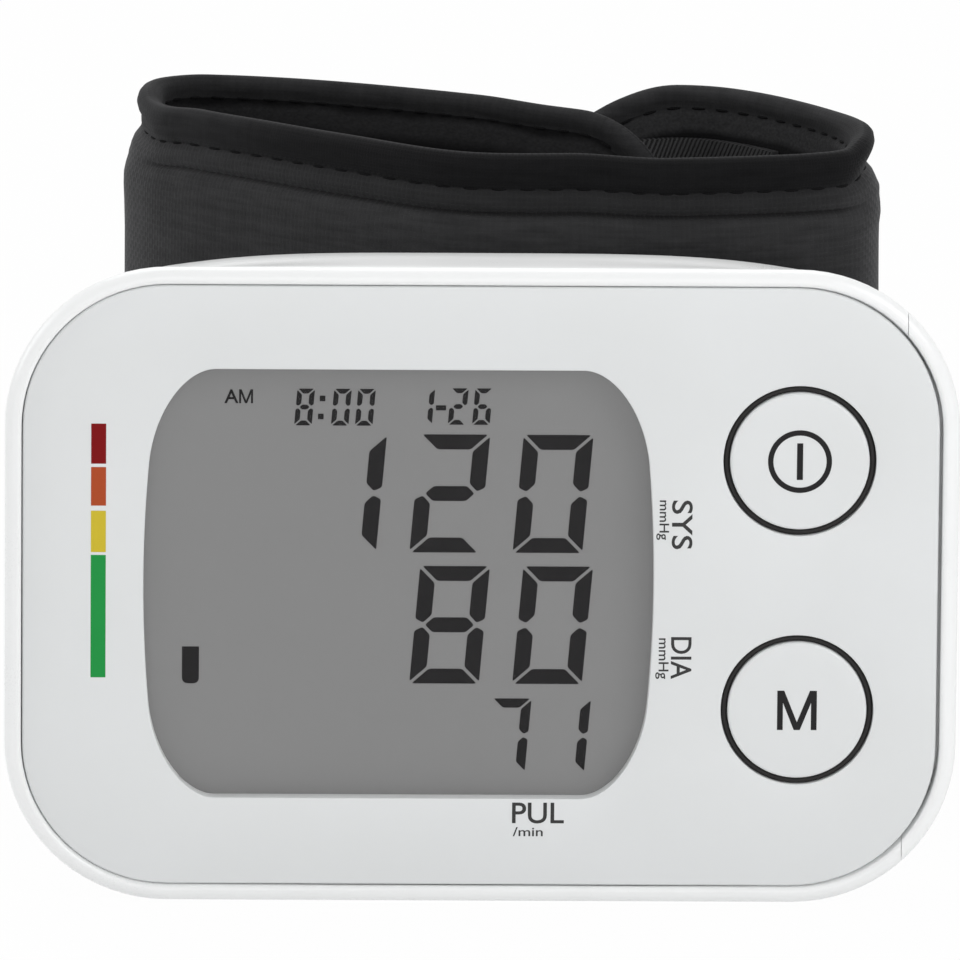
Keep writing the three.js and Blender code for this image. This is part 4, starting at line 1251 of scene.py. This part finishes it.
def brushedFinish(name, colours, litBandTone, roll):
    # knitted lining with a short nap, and a band of painted light below the hem
    finish = Finish(name)
    spot, (_, _, edge) = clothAxes(finish)
    nap = finish.noise(clothLook["nap"], 3.0, spot)
    patch = finish.noise(clothLook["napPatch"], 3.0, spot)
    share = finish.ramp(nap * 0.5 + patch * 0.5, (0.3, 0.0), (0.9, 1.0))
    # painted light: a band at a set reach from the hem is lightened, with a ragged edge
    place = (edge + (patch - 0.5) * clothLook["litBandStray"]) / clothLook["litBandReach"]
    litBandShare = finish.ramp(place, *roll) * (nap + 0.3)
    return finish.shade({
        "Base Color": finish.mix(litBandShare, finish.mix(share, *colours), litBandTone),
        "Roughness": 0.9 - nap * 0.1,
        "Normal": finish.bump(nap + patch, 0.09 * mm, 0.8),
        "Specular IOR Level": 0.1,
        **sheenValues(0.08, 0.5),
    })


def threadFinish():
    # twisted sewing thread with a soft shine; the crowns of its twist are painted lighter than its grooves,
    # with random wear in its tone
    finish = Finish("thread")
    _, (along, up, _) = clothAxes(finish)
    twist = abs(((along + up * clothLook["twistSlant"]) * (math.pi / clothLook["twist"])).sine())
    wear = finish.noise(4 * mm, 2.0)
    return finish.shade({
        "Base Color": finish.mix(twist * 0.6 + wear * 0.4, *clothLook["thread"]),
        "Roughness": 0.7 + (wear - 0.5) * 0.2,
        "Normal": finish.bump(twist, 0.03 * mm, 0.7),
        "Specular IOR Level": 0.08,
    })


def hookFinish():
    # rows of moulded hooks, slanted across the tape, with painted shade between the rows and painted light on
    # their crests
    finish = Finish("hook_tape")
    spot, (along, up, _) = clothAxes(finish)
    row = abs(((along + up * clothLook["hookSlant"]) * (math.pi / clothLook["hookPitch"])).sine())
    tuft = finish.noise(0.3 * mm, 2.0, spot)
    height = finish.ramp(row * 0.8 + tuft * 0.35, (0.35, 0.0), (0.8, 1.0))
    return finish.shade({
        "Base Color": finish.mix(height, *clothLook["hook"]),
        "Roughness": 0.6 + (tuft - 0.5) * 0.2,
        "Normal": finish.bump(height, 0.25 * mm, 0.9),
        "Specular IOR Level": 0.3,
    })


wovenLooks = {
    # yarn, colours, depth, sheen and gloss, then where the painted shade of the sewn line fades and where the
    # binding gets painted light
    "wing_weave": (clothLook["yarn"], "weave", 0.045 * mm, 0.34, 0.2, "wingFade", None),
    "flap_weave": (clothLook["yarn"], "weave", 0.045 * mm, 0.34, 0.2, "flapFade", None),
    "wing_binding": (clothLook["fineYarn"], "binding", 0.03 * mm, 0.2, 0.08, None, "bindingLitReach"),
    "flap_binding": (clothLook["fineYarn"], "binding", 0.03 * mm, 0.2, 0.08, None, None),
    "wing_hem": (clothLook["fineYarn"], "hem", 0.03 * mm, 0.08, 0.1, None, None),
    "flap_hem": (clothLook["fineYarn"], "flapHemLit", 0.03 * mm, 0.08, 0.1, None, None),
}
for name, (yarn, colours, depth, sheen, gloss, fade, litReach) in wovenLooks.items():
    reaches = [clothLook[key] if key else None for key in (fade, litReach)]
    finishes[name] = wovenFinish(name, yarn, clothLook[colours], depth, sheen, gloss, *reaches)
brushedLooks = {
    "wing_lining": ("lining", "wingLitBand"),
    "flap_lining": ("lining", "flapLitBand"),
    "loop_tape": ("loop", "wingLitBand"),
}
for name, (colours, roll) in brushedLooks.items():
    finishes[name] = brushedFinish(name, clothLook[colours], *clothLook[roll])
finishes["hook_tape"] = hookFinish()
finishes["thread"] = threadFinish()

# Cuff: two sewn panels swept along plan curves. Places are in millimetres: x from the middle of the case, and
# depth behind the cuff's front
cuffShape = {
    "front": [
        (18.0, 1.7), (10.8, 0.49), (2.3, 0.02), (-4.5, 1.22), (-11.98, 5.16), (-19.97, 11.93),
        (-26.77, 18.24), (-30.34, 23.66),
    ],
    "leftFold": (-31.7, 28.5),
    "wing": [
        (-30.2, 35.05), (-26.94, 37.6), (-23.88, 37.6), (-16.91, 35.91), (-7.56, 32.15), (1.62, 27.26),
        (11.48, 20.68), (19.5, 13.8),
    ],
    "frontRight": [(18.0, 1.7), (21.5, 2.2), (25.8, 3.0), (30.2, 4.1), (33.9, 5.9), (35.7, 8.9)],
    "rightFold": (36.15, 12.2),
    "flap": [
        (35.2, 16.6), (31.7, 23.5), (26.3, 30.2), (22.2, 33.0), (18.4, 33.5), (14.2, 32.2), (9.6, 30.6),
        (5.6, 31.4), (1.9, 33.6), (-2.9, 36.2),
    ],
    "padHalf": 2.2,
    "wingHalf": 1.6,
    "wingCorner": (13.0, 2.0),  # size, and power of its curve
    "flapCorner": (24.0, 1.75),
    # stops of (distance from the hem, value): how far the cloth is drawn in at the fold
    "wingGather": [
        (0, 0.62), (0.2, 0.65), (1.15, 0.82), (2.1, 1.4), (3.1, 0.98), (4.0, 0.98), (5.0, 0.25), (6.0, 0),
        (6.9, -0.15), (8, -0.22), (10, -0.1), (12, 0),
    ],
    "flapGather": [
        (0, -0.1), (0.7, -0.05), (1.6, 0.35), (2.6, 0.85), (3.5, 0.45), (4.5, 0), (5.4, -0.4), (6.9, -0.38),
        (8.8, -0.12), (11, 0),
    ],
    "wingLift": (0, 7),  # where the lift of the far hem fades out
    "flapLift": (90, 99),
    "pathSteps": 40,  # between two plan points
    "step": 0.62,
    # half thickness over the binding and the roll beside it, then the share of the full pad
    "outerHem": [
        (0, 0), (0.06, 0.38), (0.2, 0.66), (0.5, 0.95), (1.0, 1.18), (1.7, 1.27), (2.5, 1.2), (3.0, 0.98),
        (3.3, 0.66), (3.6, 0.98), (4.1, 1.18), (4.6, 1.26), (5.05, 1.18), (5.3, 0.95), (5.5, 0.55),
    ],
    "outerSwell": [(5.5, 0), (5.75, 0.45), (6.3, 0.7), (8.0, 0.88), (12.0, 0.97), (20.0, 1.0)],
    "innerHem": [(0, 0), (0.06, 0.38), (0.2, 0.66), (0.5, 0.95), (1.0, 1.14), (1.6, 1.04), (2.1, 0.8)],
    "innerSwell": [(2.1, 0), (3.0, 0.3), (5.0, 0.7), (9.0, 0.96), (14.0, 1.0)],
    "foldHem": [(4.1, 0), (4.6, 1.2), (5.5, 1.22), (7.0, 1.24), (9.0, 1.0)],  # least fullness at the folds
    "bindingOuter": 3.3,
    "bindingInner": 2.1,
    "levels": [  # heights of the mesh's rows, from the hem to the middle
        0, 0.06, 0.2, 0.5, 1.0, 1.5, 2.1, 2.6, 3.0, 3.3, 3.6, 4.1, 4.6, 5.05, 5.3, 5.5, 5.7, 6.1, 6.8, 7.6,
        8.6, 10, 12.5, 16, 20, 25, 29,
    ],
    "endColumns": [6, 5.3, 4.6, 4.0, 3.5, 3.1, 2.7, 2.3, 1.9, 1.5, 1.1, 0.75, 0.45, 0.2, 0.06, 0.0],
    "stitchPitch": 2.6,
    "stitchLength": 1.5,
    "stitchRadius": 0.14,
    "stitchSides": 7,
    "stitchRings": (-1, -0.8, -0.4, 0, 0.4, 0.8, 1),  # places along it, in half lengths
    "stitchShow": (0.45, 1.1),  # rise at its middle and dive at its ends, in radii
    "stitchTaper": 0.45,
    "tapeRows": 24,
    "tapeSink": 0.1,
    "blendLeft": (0.4, -1.5, 2.5),  # slope of the parting line, start and end along it
    "blendRight": (-2.0, 3.0),  # start and end behind the fold
}
# How the cloth hangs. Pairs are where a change starts and ends, along the path from the fold or as noted
cuffDrape = {
    "thinning": (-14, -2),  # from the padded front to the wing or flap
    "foldTaut": (3, 13),  # away from the fold
    "comingFree": (-6, 6),
    "slackSize": (21, 26),  # along and up
    "slackSeed": 3.1,
    "slackFree": 0.3,
    "slackFront": 0.14,
    "aboveCase": (54, 60),  # height
    "fineSize": (4.2, 11),
    "fineSeed": 7.7,
    "fineDepth": 0.07,
    "fineEdge": (1, 5),  # from the hem
    "endCalm": (0, 3),  # from the free end
    "puckerWidth": 0.6,
    "puckerDepth": 0.045,
    "frontEnd": (-2.5, 1.5),
    "highPart": (50, 64),  # height
    "leftPart": (-31, -26),  # x, here and in the pairs below
    "lean": 1.7,
    "leanFade": (-14, 0),
    "lift": 0.25,
    "leftLift": 0.38,
    "leftLiftFade": (-14, 2),
    "farLift": 0.26,
    "sag": 0.7,
    "sagStart": (8, 18),
    "sagEnd": (34.4, 36.2),
    "foldLift": (0.2, 2, 6),  # height, place past the fold and spread
    "gatherSpread": 6.5,
}
cuffLow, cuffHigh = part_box("cuff_front_panel")
cuffFront = cuffLow.y + cuffShape["padHalf"] * mm
cuffTall = (cuffHigh.z - cuffLow.z) / mm


def cuffPlan(points):
    return [Vector((x, cuffFront / mm + depth)) for x, depth in points]


def lengthMarks(spots):
    # distance along a run of points to each of them
    marks = [0.0]
    for a, b in zip(spots, spots[1:]):
        marks.append(marks[-1] + (b - a).length)
    return marks


class PlanPath:
    # smooth curve through points, measured along its length
    def __init__(self, points):
        ends = [2 * points[0] - points[1], *points, 2 * points[-1] - points[-2]]
        self.spots = []
        for i in range(1, len(ends) - 2):
            self.spots += self.stretch(ends[i - 1:i + 3], cuffShape["pathSteps"])
        self.spots.append(points[-1])
        self.marks = lengthMarks(self.spots)
        self.length = self.marks[-1]

    def stretch(self, four, steps):
        # centripetal Catmull-Rom between the middle two of four points
        knots = [0.0]
        for a, b in zip(four, four[1:]):
            knots.append(knots[-1] + math.sqrt((b - a).length))
        k0, k1, k2, k3 = knots
        p0, p1, p2, p3 = four
        spots = []
        for step in range(steps):
            t = k1 + (k2 - k1) * step / steps
            middle = self.between(p1, p2, k1, k2, t)
            early = self.between(self.between(p0, p1, k0, k1, t), middle, k0, k2, t)
            late = self.between(middle, self.between(p2, p3, k2, k3, t), k1, k3, t)
            spots.append(self.between(early, late, k1, k2, t))
        return spots

    def between(self, a, b, start, end, t):
        return a + (b - a) * ((t - start) / (end - start))

    def find(self, spot):
        # distance along the path to the place nearest a point
        nearest = min(range(len(self.spots)), key=lambda i: (self.spots[i] - spot).length)
        return self.marks[nearest]

    def at(self, distance):
        distance = min(max(distance, 0), self.length)
        low, high = 0, len(self.marks) - 1
        while high - low > 1:
            middle = (low + high) // 2
            low, high = (middle, high) if self.marks[middle] <= distance else (low, middle)
        a, b = self.spots[low], self.spots[high]
        share = (distance - self.marks[low]) / max(self.marks[high] - self.marks[low], 1e-9)
        before, after = self.spots[max(low - 2, 0)], self.spots[min(high + 2, len(self.spots) - 1)]
        return a.lerp(b, share), (after - before).normalized()


def stopsAt(stops, at):
    # value between stops, eased past the first millimetre
    for (x0, y0), (x1, y1) in zip(stops, stops[1:]):
        if at <= x1:
            share = max((at - x0) / (x1 - x0), 0)
            if x0 >= 1:
                share = share * share * (3 - 2 * share)
            return y0 + (y1 - y0) * share
    return stops[-1][1]


class CuffPanel:
    # sewn panel that stands on its plan path; side 1 is its outer face and side -1 its lining, in millimetres
    def __init__(self, path, fold, word, outward):
        self.path = path
        self.word = word
        self.foldAt = path.find(fold)
        self.corner, self.power = cuffShape[word + "Corner"]
        self.gather = cuffShape[word + "Gather"]
        self.fade = cuffShape[word + "Lift"]
        self.outward = outward  # 1 where out of the loop is left of the path

    def edgeAt(self, along, rise):
        # distance from the nearest hem, round the corners of the panel's free end
        fromEnd = self.path.length - along
        fromHem = min(rise, cuffTall - rise)
        if fromEnd < self.corner and fromHem < self.corner:
            reaches = [(self.corner - gap) ** self.power for gap in (max(fromEnd, 0), fromHem)]
            return max(self.corner - sum(reaches) ** (1 / self.power), 0)
        return max(min(fromEnd, fromHem), 0)

    def drop(self, along):
        # how far the round corner has fallen below the straight hem
        into = max(self.corner - (self.path.length - along), 0)
        share = min(into / self.corner, 1)
        return self.corner * (1 - (1 - share ** self.power) ** (1 / self.power))

    def past(self, key, along):
        # how far a change along the path has gone
        return smoothstep(*cuffDrape[key], along - self.foldAt)

    def half(self, along, rise, side):
        # half of the panel's thickness, on one side of its path
        edge = self.edgeAt(along, rise)
        thinned = self.past("thinning", along)
        body = cuffShape["padHalf"] + (cuffShape["wingHalf"] - cuffShape["padHalf"]) * thinned
        hem, swell = ("outerHem", "outerSwell") if side > 0 else ("innerHem", "innerSwell")
        waist = cuffShape[hem][-1]
        if edge <= waist[0]:
            sewn = stopsAt(cuffShape[hem], edge)
        else:
            sewn = waist[1] + (body - waist[1]) * stopsAt(cuffShape[swell], edge)
        flush = stopsAt(cuffShape["foldHem"], edge)
        taut = smoothstep(*cuffDrape["foldTaut"], abs(along - self.foldAt))
        return sewn if side < 0 else max(sewn, flush * (1 - taut))

    def ripple(self, along, rise, side):
        # slack in the cloth and the pucker of its seams
        edge = self.edgeAt(along, rise)
        free = self.past("comingFree", along)
        slack, fine = (self.waves(word, along, rise) for word in ("slack", "fine"))
        above = smoothstep(*cuffDrape["aboveCase"], rise)
        shift = slack * (cuffDrape["slackFree"] * free + cuffDrape["slackFront"] * above * (1 - free))
        shift += fine * cuffDrape["fineDepth"] * smoothstep(*cuffDrape["fineEdge"], edge) * max(free, above)
        shift *= smoothstep(*cuffDrape["endCalm"], self.path.length - along)
        pucker = 0.5 + 0.5 * math.cos(2 * math.pi * along / cuffShape["stitchPitch"])
        seam = math.exp(-((edge - self.bindingWidth(side)) / cuffDrape["puckerWidth"]) ** 2)
        return shift - side * cuffDrape["puckerDepth"] * pucker * seam

    def waves(self, word, along, rise):
        across, up = cuffDrape[word + "Size"]
        return noise.noise(Vector((along / across, rise / up, cuffDrape[word + "Seed"] * self.outward)))

    def bindingWidth(self, side):
        return cuffShape["bindingOuter"] if side > 0 else cuffShape["bindingInner"]

    def stand(self, along, rise):
        # how the hem leans, lifts and sags away from a straight upright sweep
        drape = cuffDrape
        x = self.path.at(along)[0].x
        front = 1 - self.past("frontEnd", along)
        high = smoothstep(*drape["highPart"], rise)
        left = smoothstep(*drape["leftPart"], x) * front
        lean = drape["lean"] * left * (1 - smoothstep(*drape["leanFade"], x))
        lift = drape["lift"] + drape["leftLift"] * left * (1 - smoothstep(*drape["leftLiftFade"], x))
        lift += drape["farLift"] * (1 - smoothstep(*self.fade, x)) * (1 - front)
        tall, place, spread = drape["foldLift"]
        lift += tall * math.exp(-((along - self.foldAt - place) / spread) ** 2)
        sag = drape["sag"] * smoothstep(*drape["sagStart"], x) * (1 - smoothstep(*drape["sagEnd"], x)) * front
        near = math.exp(-((along - self.foldAt) / drape["gatherSpread"]) ** 2)
        inward = self.outward * stopsAt(self.gather, self.edgeAt(along, rise)) * near
        return Vector((inward, lean * high, (lift - sag) * high))

    def spot(self, along, rise, side, lift=0.0):
        flat, tangent = self.path.at(along)
        out = self.outward * Vector((-tangent.y, tangent.x))
        flat = flat + out * (side * (self.half(along, rise, side) + lift) + self.ripple(along, rise, side))
        return Vector((flat.x, flat.y, rise)) + self.stand(along, rise)

    def stations(self):
        ends = cuffShape["endColumns"]
        run = self.path.length - ends[0]
        count = round(run / cuffShape["step"])
        return [run * i / count for i in range(count)] + [self.path.length - end for end in ends]

    def build(self, name):
        levels = cuffShape["levels"]
        heights = [*levels, cuffTall / 2, *[cuffTall - level for level in reversed(levels)]]
        parts = ["binding", "weave", "lining", "hem"]
        points, cloth, faces, kinds = [], [], [], []
        stations = self.stations()
        count = len(heights)
        for side in (1, -1):
            first = len(points)
            for along in stations:
                drop = self.drop(along)
                squeeze = (cuffTall - 2 * drop) / cuffTall
                for height in heights:
                    rise = drop + height * squeeze
                    points.append(self.spot(along, rise, side) * mm)
                    cloth.append((along * mm, rise * mm, self.edgeAt(along, rise) * mm))
            sewn, plain = ("binding", "weave") if side > 0 else ("hem", "lining")
            for row in range(len(stations) - 1):
                for column in range(count - 1):
                    a = first + row * count + column
                    face = (a, a + 1, a + 1 + count, a + count)
                    middle = sum(cloth[corner][2] for corner in face) / len(face) / mm
                    kinds.append(parts.index(sewn if middle < self.bindingWidth(side) else plain))
                    faces.append(face)
        other = len(points) // 2
        for column in range(count - 1):
            faces.append((column, column + 1, other + column + 1, other + column))
            kinds.append(parts.index("weave"))
        return clothPiece(name, points, faces, cloth, kinds, [f"{self.word}_{part}" for part in parts])

    def seamTrack(self, edge):
        # (along, rise) once round the panel at that distance from its edge
        length, corner = self.path.length, self.corner
        upper = [(0.0, cuffTall - edge), (length - corner, cuffTall - edge)]
        for turn in reversed(quarterTurn(16)):
            parts = (math.cos(turn), math.sin(turn))
            over, up = ((corner - edge) * max(part, 0) ** (2 / self.power) for part in parts)
            upper.append((length - corner + over, cuffTall - corner + up))
        lower = [(along, cuffTall - rise) for along, rise in reversed(upper)]
        return upper + lower

    def stitches(self, name, side):
        # separate stitches that dive into the cloth at both ends
        radius, reach = cuffShape["stitchRadius"], cuffShape["stitchLength"] / 2
        show, dive = cuffShape["stitchShow"]
        track = [Vector(spot) for spot in self.seamTrack(self.bindingWidth(side))]
        marks = lengthMarks(track)
        points, cloth, faces = [], [], []
        at = reach
        while at < marks[-1] - reach:
            rings = []
            for share in cuffShape["stitchRings"]:
                place = at + share * reach
                leg = max(i for i in range(len(track) - 1) if marks[i] <= place)
                spot = track[leg].lerp(track[leg + 1], (place - marks[leg]) / (marks[leg + 1] - marks[leg]))
                centre = self.spot(spot.x, spot.y, side, radius * (show - dive * share ** 4))
                rings.append((centre, radius * (1 - cuffShape["stitchTaper"] * share ** 4), spot))
            self.addStitch(rings, side, points, cloth, faces)
            at += cuffShape["stitchPitch"]
        return clothPiece(name, points, faces, cloth, [0] * len(faces), ("thread",))

    def tape(self, name, side, span, heights, thickness):
        # flat tape sewn to one face of the panel between two places along it, and its area
        start, end = span
        low, high = heights
        count = round((end - start) / cuffShape["step"])
        rows = cuffShape["tapeRows"]
        points, cloth, area = [], [], 0.0
        for station in range(count + 1):
            along = start + (end - start) * station / count
            top = min(high, cuffTall - self.drop(along) - cuffShape["bindingOuter"])
            bottom = max(low, self.drop(along) + cuffShape["bindingOuter"])
            area += (top - bottom) * (end - start) / (count + 1)
            ring = [bottom + (top - bottom) * row / rows for row in range(rows + 1)]
            points += [self.spot(along, rise, side, thickness) * mm for rise in ring]
            points += [self.spot(along, rise, side, -cuffShape["tapeSink"]) * mm for rise in reversed(ring)]
            cloth += [(along * mm, rise * mm, 0.0) for rise in ring + ring[::-1]]
        sides = 2 * (rows + 1)
        faces = ringFaces(count + 1, sides)
        for first in (0, count * sides):
            last = first + sides - 1
            faces += [(first + row, first + row + 1, last - 1 - row, last - row) for row in range(rows)]
        piece = clothPiece(name, points, faces, cloth, [0] * len(faces), (name,))
        return piece, area * mm * mm

    def addStitch(self, rings, side, points, cloth, faces):
        first, sides = len(points), cuffShape["stitchSides"]
        run = (rings[-1][0] - rings[0][0]).normalized()
        _, tangent = self.path.at(rings[len(rings) // 2][2].x)
        out = side * self.outward * Vector((-tangent.y, tangent.x, 0))
        across = run.cross(out).normalized()
        for centre, radius, spot in rings:
            for k in range(sides):
                angle = 2 * math.pi * k / sides
                points.append((centre + (out * math.cos(angle) + across * math.sin(angle)) * radius) * mm)
                cloth.append((spot.x * mm, spot.y * mm, 0.0))
        faces += solidFaces(len(rings), sides, first)


def clothPiece(name, points, faces, cloth, kinds, slots):
    # sewn piece with its cloth places kept at each point
    mesh = bpy.data.meshes.new(name)
    mesh.from_pydata([tuple(point) for point in points], [], faces)
    places = mesh.attributes.new("cloth", "FLOAT_VECTOR", "POINT")
    for item, place in zip(places.data, cloth):
        item.vector = place
    for slot in slots:
        mesh.materials.append(finishes[slot])
    for polygon, kind in zip(mesh.polygons, kinds):
        polygon.material_index = kind
    piece = newObject(name, mesh)
    cleanMesh(mesh, meshCare["clothAngle"])
    return piece


def buildCuff():
    shape = cuffShape
    leftPath = PlanPath(cuffPlan([*shape["front"], shape["leftFold"], *shape["wing"]]))
    rightPath = PlanPath(cuffPlan([*shape["frontRight"], shape["rightFold"], *shape["flap"]]))
    leftFold, rightFold = cuffPlan([shape["leftFold"], shape["rightFold"]])
    wing = CuffPanel(leftPath, leftFold, "wing", 1)
    flap = CuffPanel(rightPath, rightFold, "flap", -1)
    for panel, body, nodes in (
        (wing, "inner_wing", ("cuff_front_panel", "cuff_inner_wing")),
        (flap, "outer_flap", ("cuff_outer_flap",)),
    ):
        cover = panel.build(f"cuff_{panel.word}_cover")
        rows = [
            panel.stitches(f"{panel.word}_binding_stitches", 1),
            panel.stitches(f"{panel.word}_lining_stitches", -1),
        ]
        for piece in (cover, *rows):
            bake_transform(piece)
        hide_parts(*nodes)
    return wing, flap


wingPanel, flapPanel = buildCuff()
print("cuff sewn")

# Hook and loop tapes; spans run between places given like those of the cuff
tapeShape = {
    "hook": {"span": ((29.6, 26.4), (0.6, 34.4)), "heights": (12.0, 61.2), "thickness": 0.8},
    "loop": {"span": ((-6.0, 31.4), (10.5, 21.4)), "heights": (14.0, 52.0), "thickness": 0.9},
}


def buildTapes():
    for word, panel, side, body in (
        ("hook", flapPanel, -1, "outer_flap"),
        ("loop", wingPanel, 1, "inner_wing"),
    ):
        shape = tapeShape[word]
        low, high = shape["heights"]
        start, end = (panel.path.find(spot) for spot in cuffPlan(shape["span"]))
        tape, area = panel.tape(f"{word}_tape", side, (start, end), (low, high), shape["thickness"])
        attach(tape, body)
        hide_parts(f"{word}_pad")
        flat = ((high - low) * mm, (end - start) * mm)


buildTapes()
print("tapes sewn")

# Carried-over pieces keep their shape and get a finish each
innerFinishes = {
    "display_lens": ["display_window"],
    "display_cell": ["display_glass"],
    "black_plastic": [
        "display_frame", "controller_chip", "buzzer", "power_switch", "memory_switch", "battery_tray",
    ],
    "seal_rubber": ["contact_strip_lower", "contact_strip_upper"],
    "board": ["main_board"],
    "grey_plastic": ["pump_head", "exhaust_valve", "pressure_sensor", "cuff_connector", "cuff_stiffener"],
    "air_rubber": ["air_manifold", "cuff_tube", "cuff_bladder"],
    "cell_wrap": ["battery_left", "battery_right"],
    "bright_metal": [
        "pump_motor", "contact_bridge", "contact_negative", "contact_positive", "stud_clip_1", "stud_clip_2",
        *[f"case_screw_{number}" for number in range(1, caseShape["screws"] + 1)],
    ],
}
for finish, nodes in innerFinishes.items():
    for node in nodes:
        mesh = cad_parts[node].data
        mesh.materials.clear()
        mesh.materials.append(finishes[finish])
print("inner pieces finished")
